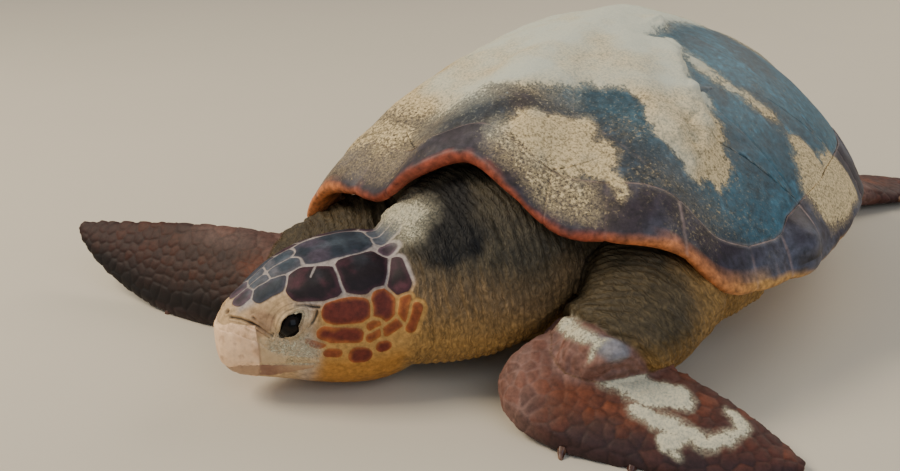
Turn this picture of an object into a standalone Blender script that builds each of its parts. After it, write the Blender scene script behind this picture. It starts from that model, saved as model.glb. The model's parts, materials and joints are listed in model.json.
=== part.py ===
"""Loggerhead turtle, life size, lying on its plastron with the head turned to its right."""
import math

import bmesh
import bpy
from mathutils import Matrix, Vector

# ---------------------------------------------------------------- sizes (m, degrees)
# +X is the turtle's left, -Y its front, +Z up; the floor is z = 0 while it is built.
GAP = 0.0004                     # clearance between neighbouring pieces
FLESH_GAP = 0.0007               # clearance where curved flesh meets curved flesh
WELD = 0.00002
FLAT_ANGLE = 0.0003              # rad, faces this level are joined
BLOCK = 2.0                      # side of the blocks that halve a solid

# carapace: edge of the shell as seen from above, front to rear, for the left side
EDGE_STATIONS = (
    (0.000, -0.430, 0.284),      # nuchal, arched over the neck
    (0.072, -0.443, 0.256),
    (0.132, -0.434, 0.214),      # dip beside the neck
    (0.245, -0.384, 0.200),      # over the shoulder
    (0.305, -0.335, 0.140),      # lowest point, in front of the flank
    (0.345, -0.240, 0.126),
    (0.366, -0.120, 0.124),
    (0.368, 0.000, 0.130),
    (0.345, 0.150, 0.124),
    (0.284, 0.294, 0.114),
    (0.170, 0.403, 0.096),
    (0.060, 0.458, 0.090),
    (0.000, 0.452, 0.094),       # notch over the tail
)
APEX_Y = -0.010
APEX_Z = 0.386
DOME_POWER = 0.82
KEEL_RISE = 0.004                # low keel along the vertebrals
KEEL_WIDTH = 0.030
PLATE_THICKNESS = 0.008
PLATE_SLACK = 0.0045             # room between plates and flesh for the facets
MARGIN_INNER = 0.89              # marginals lie between this share of the radius and 1
LIP_RADIUS = 0.0095
LIP_INSET = 0.046                # how far the underside of the rim runs inward
LIP_LIFT = 0.016
RIM_ROOM = 0.25
NUCHAL_ANGLE = 14.5              # half angle of the nuchal, seen from the apex
RIM_STEP = 5                     # degrees between cross-sections
RIM_SHARES = (0.935, 0.975)      # of the radius, where the top of a section has its points
LIP_TURNS = (35, -15, -70)       # degrees, points round the rolled edge
RIM_SEAM = 0.06                  # degrees left free between runs of the rim
RIM_CUTTER_LAP = 2.0             # degrees
MARGIN_CLEAR = 0.0006
PLATE_GRID = 0.056
PLATE_SEAM = GAP / 2 + 0.0001    # each plate stands back from its outline
DOME_LAP = 0.02                  # the room for the plates runs this share past them
DOME_SIDES = 36
SKY = 0.60                       # height above everything

# vertebral scutes: seams front to rear, widths at the seams and between them
VERTEBRAL_SEAMS = (-0.372, -0.232, -0.088, 0.062, 0.212, 0.400)
VERTEBRAL_SEAM_HALF = (0.052, 0.048, 0.046, 0.044, 0.036, 0.062)
VERTEBRAL_MID_HALF = (0.082, 0.078, 0.074, 0.068, 0.088)
COSTAL_OUTER_SEAMS = (35.0, 68.0, 100.0, 131.0)      # angles where costal seams meet the rim
COSTAL_REAR_ANGLE = 158.0

# plastron
PLASTRON_STATIONS = (            # y, half width, edge height
    (-0.335, 0.050, 0.014),
    (-0.290, 0.125, 0.020),
    (-0.220, 0.185, 0.030),
    (-0.160, 0.262, 0.074),
    (-0.100, 0.334, 0.113),
    (0.070, 0.334, 0.114),
    (0.150, 0.270, 0.084),
    (0.210, 0.180, 0.036),
    (0.290, 0.120, 0.020),
    (0.350, 0.050, 0.012),
)
PLASTRON_FLAT = 0.120
PLASTRON_THICKNESS = 0.012
PLASTRON_ACROSS = 10
PLASTRON_ALONG = 16
PLASTRON_CLEAR = 0.0012          # room between plastron and flesh
PLASTRON_DROP = 0.05
PLASTRON_FLAT_SHARE = 0.55       # of the half width that may be flat
PLASTRON_BEND = 1.7
PLASTRON_OVER = 1.15

# head: stations from the snout back (distance, half width, top, bottom), mouth line at 0
HEAD_STATIONS = (
    (-0.002, 0.014, 0.040, -0.004),
    (0.004, 0.023, 0.052, -0.015),
    (0.016, 0.034, 0.066, -0.026),
    (0.038, 0.047, 0.080, -0.034),
    (0.070, 0.064, 0.100, -0.042),
    (0.104, 0.081, 0.112, -0.052),
    (0.138, 0.093, 0.117, -0.060),
    (0.172, 0.099, 0.118, -0.064),
    (0.202, 0.098, 0.115, -0.062),
    (0.228, 0.091, 0.107, -0.054),
)
HEAD_POWER = 2.35
HEAD_PIVOT = (-0.143, -0.541, 0.086)
HEAD_PIVOT_BACK = 0.132
HEAD_PIVOT_UP = 0.022
HEAD_YAW = 35.0
HEAD_PITCH = 1.5
HEAD_ROLL = 3.0
HEAD_SEGMENTS = 22
HEAD_STEPS = 14
HEAD_CROWDING = 1.1              # sections stand closer toward the snout
HEAD_REACH = 0.16                # half length of the blocks that cut out the beak

BEAK_UPPER = (                   # side outline (back, up)
    (-0.030, 0.040), (0.014, 0.041), (0.040, 0.030), (0.056, 0.015),
    (0.100, 0.010), (0.104, 0.002), (0.016, 0.000), (0.004, -0.011), (-0.030, -0.011),
)
BEAK_LOWER = (
    (-0.030, -0.012), (0.005, -0.0125), (0.017, -0.002), (0.098, 0.000),
    (0.096, -0.006), (0.050, -0.022), (-0.030, -0.026),
)
EYE_RADIUS = 0.0185
EYE_BACK = 0.078
EYE_UP = 0.050
EYE_SIDE = 0.0525
EYE_FACETS = 2

# neck: centre (x, y, z), half width, half height
NECK_STATIONS = (
    ((0.000, -0.220, 0.150), 0.110, 0.095),
    ((0.000, -0.320, 0.150), 0.128, 0.104),
    ((0.000, -0.395, 0.148), 0.131, 0.110),
    ((-0.022, -0.450, 0.128), 0.124, 0.100),
    ((-0.072, -0.498, 0.102), 0.088, 0.076),
    ((-0.105, -0.530, 0.096), 0.066, 0.056),
)

NECK_STEPS = 10
NECK_SEGMENTS = 20
NECK_POWER = 2.2
NECK_TURN_FROM = 0.35            # share of the neck where it starts to turn with the head

# front limbs, both written for the left side: centre, half chord, half thickness,
# tilt of the chord (front edge down)
ARM_LEFT = (
    ((0.135, -0.230, 0.125), 0.075, 0.070, 0.0),
    ((0.192, -0.295, 0.120), 0.086, 0.080, 5.0),
    ((0.218, -0.360, 0.106), 0.088, 0.078, 12.0),
    ((0.204, -0.420, 0.086), 0.080, 0.064, 20.0),
    ((0.168, -0.462, 0.068), 0.070, 0.048, 24.0),
    ((0.150, -0.486, 0.060), 0.036, 0.030, 24.0),
)
ARM_RIGHT = (
    ((0.135, -0.230, 0.125), 0.075, 0.070, 0.0),
    ((0.185, -0.295, 0.120), 0.090, 0.078, 5.0),
    ((0.228, -0.355, 0.108), 0.088, 0.070, 15.0),
    ((0.268, -0.405, 0.088), 0.074, 0.056, 25.0),
    ((0.300, -0.436, 0.075), 0.056, 0.044, 35.0),
    ((0.316, -0.450, 0.070), 0.028, 0.026, 40.0),
)
FLIPPER_LEFT = (
    ((0.114, -0.474, 0.068), 0.040, 0.026, 34.0),
    ((0.133, -0.482, 0.061), 0.070, 0.034, 33.0),
    ((0.174, -0.490, 0.051), 0.082, 0.030, 32.0),
    ((0.235, -0.490, 0.041), 0.078, 0.022, 30.0),
    ((0.300, -0.484, 0.030), 0.067, 0.017, 28.0),
    ((0.365, -0.476, 0.020), 0.050, 0.012, 24.0),
    ((0.415, -0.466, 0.011), 0.027, 0.008, 18.0),
    ((0.440, -0.459, 0.007), 0.007, 0.004, 16.0),
)
FLIPPER_RIGHT = (
    ((0.250, -0.420, 0.078), 0.050, 0.030, 44.0),
    ((0.290, -0.440, 0.070), 0.072, 0.036, 50.0),
    ((0.345, -0.456, 0.062), 0.076, 0.030, 55.0),
    ((0.415, -0.465, 0.058), 0.074, 0.022, 58.0),
    ((0.490, -0.468, 0.059), 0.066, 0.017, 59.0),
    ((0.565, -0.468, 0.065), 0.050, 0.013, 57.0),
    ((0.632, -0.468, 0.076), 0.029, 0.009, 53.0),
    ((0.672, -0.466, 0.087), 0.008, 0.004, 50.0),
)
LEG = (                          # hind limb of the left side; the right one mirrors it
    ((0.110, 0.190, 0.090), 0.070, 0.060, 0.0),
    ((0.160, 0.270, 0.078), 0.078, 0.060, 0.0),
    ((0.205, 0.340, 0.058), 0.074, 0.046, 0.0),
    ((0.240, 0.400, 0.036), 0.066, 0.030, 0.0),
    ((0.270, 0.455, 0.022), 0.074, 0.018, 0.0),
    ((0.300, 0.505, 0.014), 0.076, 0.013, 0.0),
    ((0.325, 0.548, 0.009), 0.056, 0.010, 0.0),
    ((0.338, 0.570, 0.007), 0.024, 0.008, 0.0),
)
TAIL = (
    ((0.000, 0.300, 0.085), 0.060, 0.045, 0.0),
    ((0.000, 0.380, 0.062), 0.045, 0.034, 0.0),
    ((0.000, 0.450, 0.040), 0.028, 0.022, 0.0),
    ((0.000, 0.510, 0.022), 0.014, 0.013, 0.0),
    ((0.000, 0.535, 0.016), 0.005, 0.005, 0.0),
)
FRONT_LIMBS = (
    ("left", 1, ARM_LEFT, FLIPPER_LEFT),
    ("right", -1, ARM_RIGHT, FLIPPER_RIGHT),
)
LIMB_SEGMENTS = 12
LIMB_BLUNT = 0.25                # the leading edge is this much thicker
ARM_STEPS = 8
FLIPPER_STEPS = 12
LEG_STEPS = 13
TAIL_STEPS = 7
TRUNK_SEGMENTS = 40
TRUNK_WALL = 0.872               # share of the shell's radius that flesh fills
TRUNK_LOW_WALL = 0.93            # of that, low down
TRUNK_MIDDLE = 0.5
TRUNK_FLOOR = 0.008
TRUNK_BOTTOM = 0.030
TRUNK_FLANK = 0.2                # how far the low wall rises along the flanks
TRUNK_OVER = 0.01                # stands this much above the shell, to be cut to it
ANKLE_SHARE = 0.45
CLAW_SHARES = (0.36, 0.52)       # along a front flipper
HIND_CLAW_SHARES = (0.66, 0.80)
CLAW_LENGTH = 0.020
CLAW_RADIUS = 0.0052
CLAW_TIP = 0.0007
CLAW_SWEEP = 0.009
CLAW_SUNK = 0.006
CLAW_STEPS = 3

# finishes: base colour, roughness
FINISHES = {
    "scute": ((0.055, 0.052, 0.058), 0.55),
    "marginal": ((0.085, 0.050, 0.045), 0.55),
    "plastron": ((0.52, 0.36, 0.17), 0.60),
    "skin": ((0.20, 0.13, 0.075), 0.75),
    "head_skin": ((0.10, 0.045, 0.032), 0.60),
    "flipper_skin": ((0.20, 0.075, 0.050), 0.65),
    "beak": ((0.62, 0.45, 0.34), 0.50),
    "eye": ((0.012, 0.009, 0.008), 0.08),
    "claw": ((0.25, 0.16, 0.10), 0.45),
}


# ---------------------------------------------------------------- small helpers
def clear_scene():
    """Start from an empty scene."""
    for old in list(bpy.data.objects):
        bpy.data.objects.remove(old, do_unlink=True)


def finish_material(name):
    """Material of one finish, made once."""
    found = bpy.data.materials.get(name)
    if found:
        return found
    colour, rough = FINISHES[name]
    made = bpy.data.materials.new(name)
    made.use_nodes = True
    shader = made.node_tree.nodes["Principled BSDF"]
    shader.inputs["Base Color"].default_value = (*colour, 1.0)
    shader.inputs["Roughness"].default_value = rough
    shader.inputs["Metallic"].default_value = 0.0
    made.diffuse_color = (*colour, 1.0)
    return made


def make_object(name, points, faces, finish, smooth=True):
    """Mesh object from points and faces, facing outward."""
    mesh = bpy.data.meshes.new(name)
    mesh.from_pydata([tuple(p) for p in points], [], faces)
    work = bmesh.new()
    work.from_mesh(mesh)
    bmesh.ops.recalc_face_normals(work, faces=work.faces)
    work.to_mesh(mesh)
    work.free()
    for face in mesh.polygons:
        face.use_smooth = smooth
    made = bpy.data.objects.new(name, mesh)
    bpy.context.scene.collection.objects.link(made)
    mesh.materials.append(finish_material(finish))
    return made


def blend(stations, share):
    """Value on a smooth curve through equally numbered stations, share in 0..1."""
    count = len(stations)
    place = min(max(share, 0.0), 1.0) * (count - 1)
    i = min(int(place), count - 2)
    u = place - i
    before = stations[max(i - 1, 0)]
    after = stations[min(i + 2, count - 1)]
    here = stations[i]
    there = stations[i + 1]
    out = []
    for a, b, c, d in zip(before, here, there, after):
        slope_b = (c - a) / 2
        slope_c = (d - b) / 2
        out.append(
            (2 * u ** 3 - 3 * u ** 2 + 1) * b + (u ** 3 - 2 * u ** 2 + u) * slope_b
            + (3 * u ** 2 - 2 * u ** 3) * c + (u ** 3 - u ** 2) * slope_c
        )
    return out


def ring_faces(count, size):
    """Triangles between neighbouring rings."""
    faces = []
    for k in range(count - 1):
        for i in range(size):
            j = (i + 1) % size
            here = k * size
            there = here + size
            faces.append((here + i, here + j, there + j))
            faces.append((here + i, there + j, there + i))
    return faces


def loft(name, rings, finish):
    """Closed solid through rings of equal length, capped at both ends."""
    size = len(rings[0])
    points = [p for ring in rings for p in ring]
    faces = ring_faces(len(rings), size)
    for k, ring in ((0, rings[0]), (len(rings) - 1, rings[-1])):
        middle = sum((Vector(p) for p in ring), Vector()) / size
        points.append(middle)
        tip = len(points) - 1
        for i in range(size):
            faces.append((k * size + i, k * size + (i + 1) % size, tip))
    return make_object(name, points, faces, finish)


def weld(piece, flatten=False):
    """Merge doubled points, drop slivers and leave triangles; flatten joins level faces."""
    work = bmesh.new()
    work.from_mesh(piece.data)
    bmesh.ops.remove_doubles(work, verts=work.verts, dist=WELD)
    bmesh.ops.dissolve_degenerate(work, edges=work.edges, dist=WELD)
    if flatten:
        bmesh.ops.dissolve_limit(
            work, angle_limit=FLAT_ANGLE, verts=work.verts, edges=work.edges)
    bmesh.ops.triangulate(work, faces=work.faces[:])
    bmesh.ops.recalc_face_normals(work, faces=work.faces)
    work.to_mesh(piece.data)
    work.free()


def boolean(target, tool, kind):
    """Apply one exact Boolean to target; the tool is removed afterwards."""
    step = target.modifiers.new("cut", "BOOLEAN")
    step.operation = kind
    step.solver = "EXACT"
    step.object = tool
    graph = bpy.context.evaluated_depsgraph_get()
    done = bpy.data.meshes.new_from_object(target.evaluated_get(graph))
    target.modifiers.clear()
    target.data = done
    weld(target)
    bpy.data.objects.remove(tool, do_unlink=True)
    return target


def cut(target, tool):
    """Take the tool away from the target."""
    return boolean(target, tool, "DIFFERENCE")


def keep_inside(target, tool):
    """Keep the part of the target that lies in the tool."""
    return boolean(target, tool, "INTERSECT")


def copy_of(thing, name):
    """Independent copy of a mesh object."""
    twin = thing.copy()
    twin.data = thing.data.copy()
    twin.name = name
    bpy.context.scene.collection.objects.link(twin)
    return twin


def half_space(point, normal, reach=BLOCK):
    """Large block whose face passes through the point, on the side the normal shows."""
    turn = Vector(normal).to_track_quat("Z", "Y").to_matrix().to_4x4()
    place = Matrix.Translation(Vector(point)) @ turn @ Matrix.Translation((0, 0, reach / 2))
    corners = []
    for x in (-1, 1):
        for y in (-1, 1):
            for z in (-1, 1):
                corners.append(place @ Vector((x * reach / 2, y * reach / 2, z * reach / 2)))
    faces = [(0, 1, 3, 2), (4, 6, 7, 5), (0, 4, 5, 1), (2, 3, 7, 6), (0, 2, 6, 4), (1, 5, 7, 3)]
    return make_object("block", corners, faces, "skin")


def split(thing, point, normal, name_before, name_after, finish_after):
    """Part a solid with one thin flat cut."""
    normal = Vector(normal).normalized()
    after = copy_of(thing, name_after)
    keep_inside(after, half_space(Vector(point) + normal * GAP / 2, normal))
    keep_inside(thing, half_space(Vector(point) - normal * GAP / 2, -normal))
    thing.name = name_before
    after.data.materials.clear()
    after.data.materials.append(finish_material(finish_after))
    return thing, after


# ---------------------------------------------------------------- carapace surface
def build_edge_table():
    """Radius and height of the shell's edge against the angle seen from the apex."""
    table = []
    before = (-EDGE_STATIONS[1][0], *EDGE_STATIONS[1][1:])
    after = (-EDGE_STATIONS[-2][0], *EDGE_STATIONS[-2][1:])
    stations = (before, *EDGE_STATIONS, after)
    spans = len(stations) - 1
    for k in range(241):
        x, y, z = blend(stations, (1 + (spans - 2) * k / 240) / spans)
        angle = math.atan2(max(x, 0.0), -(y - APEX_Y))
        table.append((angle, math.hypot(x, y - APEX_Y), z))
    return table


EDGE_TABLE = build_edge_table()


def edge_at(angle):
    """Radius and height of the edge at an angle in radians, 0 at the front."""
    angle = abs((angle + math.pi) % (2 * math.pi) - math.pi)
    for a, b in zip(EDGE_TABLE, EDGE_TABLE[1:]):
        if b[0] >= angle and b[0] > a[0]:
            u = max(0.0, (angle - a[0]) / (b[0] - a[0]))
            return a[1] + (b[1] - a[1]) * u, a[2] + (b[2] - a[2]) * u
    return EDGE_TABLE[-1][1], EDGE_TABLE[-1][2]


def plan_point(angle, share):
    """Plan position at an angle and a share of the shell's radius."""
    radius = edge_at(angle)[0] * share
    return radius * math.sin(angle), APEX_Y - radius * math.cos(angle)


def shell_height(x, y):
    """Height of the shell's outer surface above a plan position."""
    away = math.hypot(x, y - APEX_Y)
    radius, low = edge_at(math.atan2(x, -(y - APEX_Y)))
    share = min(away / radius, 1.0)
    keel = KEEL_RISE * math.exp(-((x / KEEL_WIDTH) ** 2)) * (1 - share ** 4)
    return low + (APEX_Z - low) * (1 - share * share) ** DOME_POWER + keel


# ---------------------------------------------------------------- plates
def inset(outline, depth):
    """Outline moved inward by a depth; the outline runs anticlockwise."""
    out = []
    count = len(outline)
    for i in range(count):
        before = Vector(outline[i - 1])
        here = Vector(outline[i])
        after = Vector(outline[(i + 1) % count])
        way_in = (here - before).normalized()
        way_out = (after - here).normalized()
        side_in = Vector((-way_in.y, way_in.x))
        side_out = Vector((-way_out.y, way_out.x))
        mitre = side_in + side_out
        mitre *= depth / max(0.2, mitre.dot(side_in))
        out.append(here + mitre)
    return out


def plan_mesh(outline, grid):
    """Plan outline filled with faces no larger than the grid."""
    work = bmesh.new()
    work.faces.new([work.verts.new((p[0], p[1], 0)) for p in outline])
    for axis in (0, 1):
        low = min(p[axis] for p in outline)
        high = max(p[axis] for p in outline)
        step = math.floor(low / grid) + 1
        normal = (1, 0, 0) if axis == 0 else (0, 1, 0)
        while step * grid < high:
            spot = [0, 0, 0]
            spot[axis] = step * grid
            everything = work.verts[:] + work.edges[:] + work.faces[:]
            bmesh.ops.bisect_plane(work, geom=everything, plane_co=spot, plane_no=normal, dist=1e-5)
            step += 1
    bmesh.ops.triangulate(work, faces=work.faces[:])
    work.verts.index_update()
    plan = [(v.co.x, v.co.y) for v in work.verts]
    faces = [tuple(v.index for v in f.verts) for f in work.faces]
    rim = []
    for edge in work.edges:
        if len(edge.link_faces) == 1:
            loop = edge.link_faces[0].loops
            for corner in loop:
                if corner.edge == edge:
                    rim.append((corner.vert.index, corner.link_loop_next.vert.index))
    work.free()
    return plan, faces, rim


def slab_between(name, outline, top, bottom, finish):
    """Solid between two height functions over a plan outline."""
    plan, faces, rim = plan_mesh(outline, PLATE_GRID)
    count = len(plan)
    points = [(x, y, top(x, y)) for x, y in plan] + [(x, y, bottom(x, y)) for x, y in plan]
    all_faces = list(faces)
    all_faces += [tuple(i + count for i in reversed(f)) for f in faces]
    all_faces += [(b, a, a + count, b + count) for a, b in rim]
    return make_object(name, points, all_faces, finish)


def mirrored(outline):
    """Outline of the other side, still anticlockwise."""
    return [(-x, y) for x, y in reversed(outline)]


def vertebral_outline(index):
    """Six-sided outline of one vertebral scute."""
    front = VERTEBRAL_SEAMS[index]
    back = VERTEBRAL_SEAMS[index + 1]
    share = 0.62 if index == 4 else 0.5
    mid = front + (back - front) * share
    wide = VERTEBRAL_MID_HALF[index]
    a = VERTEBRAL_SEAM_HALF[index]
    b = VERTEBRAL_SEAM_HALF[index + 1]
    left = [(a, front), (wide, mid), (b, back)]
    return left + [(-x, y) for x, y in reversed(left)]


def angle_run(start, stop):
    """Angles from start to stop, by way of the whole steps and the nuchal's corners."""
    low, high = min(start, stop), max(start, stop)
    first = math.floor(low / RIM_STEP) + 1
    last = math.ceil(high / RIM_STEP) - 1
    between = [k * RIM_STEP for k in range(first, last + 1)]
    between += [a for a in (-NUCHAL_ANGLE, NUCHAL_ANGLE) if low + 1 < a < high - 1]
    between.sort()
    run = [low, *between, high]
    return run if start < stop else run[::-1]


def rim_arc(start, stop, share):
    """Plan points along a share of the shell's radius between two angles."""
    return [plan_point(math.radians(angle), share) for angle in angle_run(start, stop)]


def costal_outline(index):
    """Outline of one costal scute of the left side."""
    start = NUCHAL_ANGLE if index == 0 else COSTAL_OUTER_SEAMS[index - 1]
    stop = COSTAL_REAR_ANGLE if index == 4 else COSTAL_OUTER_SEAMS[index]
    outer = rim_arc(start, stop, MARGIN_INNER)
    seam, middle = vertebral_outline(index)[:2]
    if index == 0:
        return outer + [middle]
    return outer + [middle, seam, vertebral_outline(index - 1)[1]]


def plate(name, outline):
    """One scute of the dome."""
    return slab_between(
        name, inset(outline, PLATE_SEAM), shell_height,
        lambda x, y: shell_height(x, y) - PLATE_THICKNESS, "scute")


def first_vertebral():
    """Front vertebral, ended on the nuchal's rear edge."""
    outline = vertebral_outline(0)
    arc = rim_arc(-NUCHAL_ANGLE, NUCHAL_ANGLE, MARGIN_INNER)
    return arc + outline[1:5]


def last_vertebral():
    """Rear vertebral, ended on the inner edge of the marginals."""
    outline = vertebral_outline(4)
    arc = rim_arc(COSTAL_REAR_ANGLE, 360 - COSTAL_REAR_ANGLE, MARGIN_INNER)
    return [outline[0], outline[1]] + arc + [outline[4], outline[5]]


def build_plates():
    """Vertebral and costal scutes."""
    plate("vertebral_scute_1", first_vertebral())
    for index in range(1, 4):
        plate(f"vertebral_scute_{index + 1}", vertebral_outline(index))
    plate("vertebral_scute_5", last_vertebral())
    for index in range(5):
        outline = costal_outline(index)
        plate(f"costal_scute_left_{index + 1}", outline)
        plate(f"costal_scute_right_{index + 1}", mirrored(outline))


# ---------------------------------------------------------------- rim of the shell
def rim_section(angle, grow, roof):
    """Cross-section of the marginals; roof lifts the top for a cutter."""
    radius, low = edge_at(angle)
    out = []
    inner = MARGIN_INNER + (MARGIN_CLEAR - grow) / radius
    for share in (inner, *RIM_SHARES):
        x, y = plan_point(angle, share)
        out.append((share * radius, shell_height(x, y) + roof + grow))
    centre_r = radius - LIP_RADIUS
    size = LIP_RADIUS + grow
    if roof:
        out.append((radius + grow, low + roof))
    for turn in LIP_TURNS:
        out.append((centre_r + size * math.cos(math.radians(turn)),
                    low + size * math.sin(math.radians(turn))))
    out.append((radius - LIP_INSET - grow, low + LIP_LIFT - grow))
    x, y = plan_point(angle, inner)
    out.append((inner * radius, shell_height(x, y) - PLATE_THICKNESS - grow))
    return [(r * math.sin(angle), APEX_Y - r * math.cos(angle), z) for r, z in out]


def rim_piece(name, start, stop, grow=0.0, roof=0.0, finish="marginal"):
    """Run of marginals between two angles in degrees."""
    rings = [rim_section(math.radians(angle), grow, roof) for angle in angle_run(start, stop)]
    return loft(name, rings, finish)


def build_rim():
    """Nuchal and the two rows of marginals."""
    edge = NUCHAL_ANGLE
    rim_piece("nuchal_scute", -edge + RIM_SEAM, edge - RIM_SEAM)
    rim_piece("marginal_scutes_left", edge + RIM_SEAM, 180 - RIM_SEAM)
    rim_piece("marginal_scutes_right", -edge - RIM_SEAM, -180 + RIM_SEAM)


def rim_cutter(start, stop):
    """Room for the rim, with more above it."""
    return rim_piece("cutter", start, stop, GAP, RIM_ROOM, "skin")


def dome_cutter():
    """Room for the plates, open above."""
    turns = [2 * math.pi * k / DOME_SIDES for k in range(DOME_SIDES)]
    outline = [plan_point(turn, MARGIN_INNER + DOME_LAP) for turn in turns]
    return slab_between(
        "cutter", outline, lambda x, y: SKY,
        lambda x, y: shell_height(x, y) - PLATE_THICKNESS - PLATE_SLACK, "skin")


# ---------------------------------------------------------------- plastron
def plastron_width(y):
    """Half width and edge height of the plastron at a place along the body."""
    first = PLASTRON_STATIONS[0]
    last = PLASTRON_STATIONS[-1]
    if y <= first[0]:
        return first[1:]
    for a, b in zip(PLASTRON_STATIONS, PLASTRON_STATIONS[1:]):
        if y <= b[0]:
            u = (y - a[0]) / (b[0] - a[0])
            u = u * u * (3 - 2 * u)
            return tuple(p + (q - p) * u for p, q in zip(a[1:], b[1:]))
    return last[1:]


def plastron_height(x, y):
    """Height of the plastron's underside."""
    half, lift = plastron_width(y)
    flat = min(PLASTRON_FLAT, half * PLASTRON_FLAT_SHARE)
    side = max(0.0, (abs(x) - flat) / max(half - flat, 0.01))
    return lift * min(side, PLASTRON_OVER) ** PLASTRON_BEND


def plastron_solid(name, grow, drop, finish):
    """Plastron plate; grow widens it and drop sinks the underside for a cutter."""
    first = PLASTRON_STATIONS[0][0]
    last = PLASTRON_STATIONS[-1][0]
    rows = [first + (last - first) * k / PLASTRON_ALONG for k in range(PLASTRON_ALONG + 1)]
    if grow:
        rows = [first - grow, *rows, last + grow]
    rings = []
    for y in rows:
        half = plastron_width(y)[0]
        under = []
        over = []
        for i in range(PLASTRON_ACROSS + 1):
            share = 2 * i / PLASTRON_ACROSS - 1
            z = plastron_height(half * share, y)
            under.append(((half + grow) * share, y, z - drop))
            over.append(((half + grow) * share, y, z + PLASTRON_THICKNESS + grow))
        rings.append(under + over[::-1])
    return flat_loft(name, rings, finish)


def flat_loft(name, rings, finish):
    """Loft whose ends are closed by strips between the two halves of each ring."""
    size = len(rings[0])
    half = size // 2
    points = [p for ring in rings for p in ring]
    faces = ring_faces(len(rings), size)
    for k in (0, len(rings) - 1):
        for i in range(half - 1):
            faces.append((k * size + i, k * size + i + 1,
                          k * size + size - 2 - i, k * size + size - 1 - i))
    return make_object(name, points, faces, finish)


# ---------------------------------------------------------------- head
def head_frame():
    """Place of the head: columns are back, left and up."""
    roll = Matrix.Rotation(math.radians(HEAD_ROLL), 4, "Y")
    pitch = Matrix.Rotation(math.radians(HEAD_PITCH), 4, "X")
    yaw = Matrix.Rotation(-math.radians(HEAD_YAW), 4, "Z")
    shift = Matrix.Translation((0, -HEAD_PIVOT_BACK, -HEAD_PIVOT_UP))
    return Matrix.Translation(HEAD_PIVOT) @ yaw @ pitch @ roll @ shift


HEAD_FRAME = head_frame()


def head_point(back, left, up):
    """World position of a place on the head."""
    return HEAD_FRAME @ Vector((left, back, up))


def oval(half_width, top, bottom, power, count):
    """Rounded square outline as (side, up) pairs."""
    out = []
    for i in range(count):
        turn = 2 * math.pi * i / count
        c = math.cos(turn)
        s = math.sin(turn)
        side = half_width * math.copysign(abs(c) ** (2 / power), c)
        tall = (top - bottom) / 2 * math.copysign(abs(s) ** (2 / power), s)
        out.append((side, (top + bottom) / 2 + tall))
    return out


def head_solid(name, grow):
    """Head from snout to nape."""
    rings = []
    for k in range(HEAD_STEPS + 1):
        back, half, top, bottom = blend(HEAD_STATIONS, (k / HEAD_STEPS) ** HEAD_CROWDING)
        ring = oval(half + grow, top + grow, bottom - grow, HEAD_POWER, HEAD_SEGMENTS)
        push = grow * (2 * k / HEAD_STEPS - 1)
        rings.append([head_point(back + push, side, up) for side, up in ring])
    return loft(name, rings, "head_skin")


def head_prism(outline, grow):
    """Block across the head with a side outline given as (back, up)."""
    outline = [tuple(p) for p in inset(ordered(outline), -grow)]
    near = [head_point(b, HEAD_REACH, u) for b, u in outline]
    far = [head_point(b, -HEAD_REACH, u) for b, u in outline]
    return loft("prism", [near, far], "beak")


def ordered(outline):
    """Outline turned anticlockwise."""
    area = 0.0
    for (a, b), (c, d) in zip(outline, outline[1:] + outline[:1]):
        area += a * d - b * c
    return list(outline) if area > 0 else list(reversed(outline))


def eye_solid(name, side, grow):
    """Eyeball of one side."""
    work = bmesh.new()
    bmesh.ops.create_icosphere(work, subdivisions=EYE_FACETS, radius=EYE_RADIUS + grow)
    points = [v.co + head_point(EYE_BACK, side * EYE_SIDE, EYE_UP) for v in work.verts]
    faces = [tuple(v.index for v in f.verts) for f in work.faces]
    work.free()
    return make_object(name, points, faces, "eye")


def build_head():
    """Head flesh, beak and eyes."""
    head = head_solid("head", 0.0)
    upper = copy_of(head, "beak_upper")
    lower = copy_of(head, "beak_lower")
    for piece, outline in ((upper, BEAK_UPPER), (lower, BEAK_LOWER)):
        keep_inside(piece, head_prism(outline, 0.0))
        piece.data.materials.clear()
        piece.data.materials.append(finish_material("beak"))
        cut(head, head_prism(outline, GAP))
    for side, name in ((1, "eye_left"), (-1, "eye_right")):
        eye_solid(name, side, 0.0)
        cut(head, eye_solid("socket", side, GAP))
    cut(head, half_space((0, 0, 0), (0, 0, -1)))
    return head


# ---------------------------------------------------------------- limbs, neck and tail
def limb_station(stations, share):
    """Centre, half chord, half thickness and tilt at a share of the limb."""
    rows = [(*centre, chord, thick, tilt) for centre, chord, thick, tilt in stations]
    x, y, z, chord, thick, tilt = blend(rows, share)
    return Vector((x, y, z)), chord, thick, tilt


def limb_heading(stations, share):
    """Direction toward the tip of the limb."""
    ahead = limb_station(stations, min(share + 0.01, 1.0))[0]
    behind = limb_station(stations, max(share - 0.01, 0.0))[0]
    return (ahead - behind).normalized()


def limb_ring(stations, share, grow):
    """Cross-section of a limb; its first point is on the leading edge."""
    centre, chord, thick, tilt = limb_station(stations, share)
    along = limb_heading(stations, share)
    level = along.cross(Vector((0, 0, 1))).normalized()
    lift = level.cross(along)
    turn = math.radians(tilt)
    front = level * math.cos(turn) - lift * math.sin(turn)
    above = lift * math.cos(turn) + level * math.sin(turn)
    ring = []
    for i in range(LIMB_SEGMENTS):
        angle = 2 * math.pi * i / LIMB_SEGMENTS
        c = math.cos(angle)
        s = math.sin(angle)
        blunt = 1.0 + LIMB_BLUNT * c
        ring.append(centre + front * (chord + grow) * c + above * (thick * blunt + grow) * s)
    return ring


def on_side(places, side):
    """Places moved to the left (1) or right (-1) side."""
    return [Vector((side * p.x, p.y, p.z)) for p in places]


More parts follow.
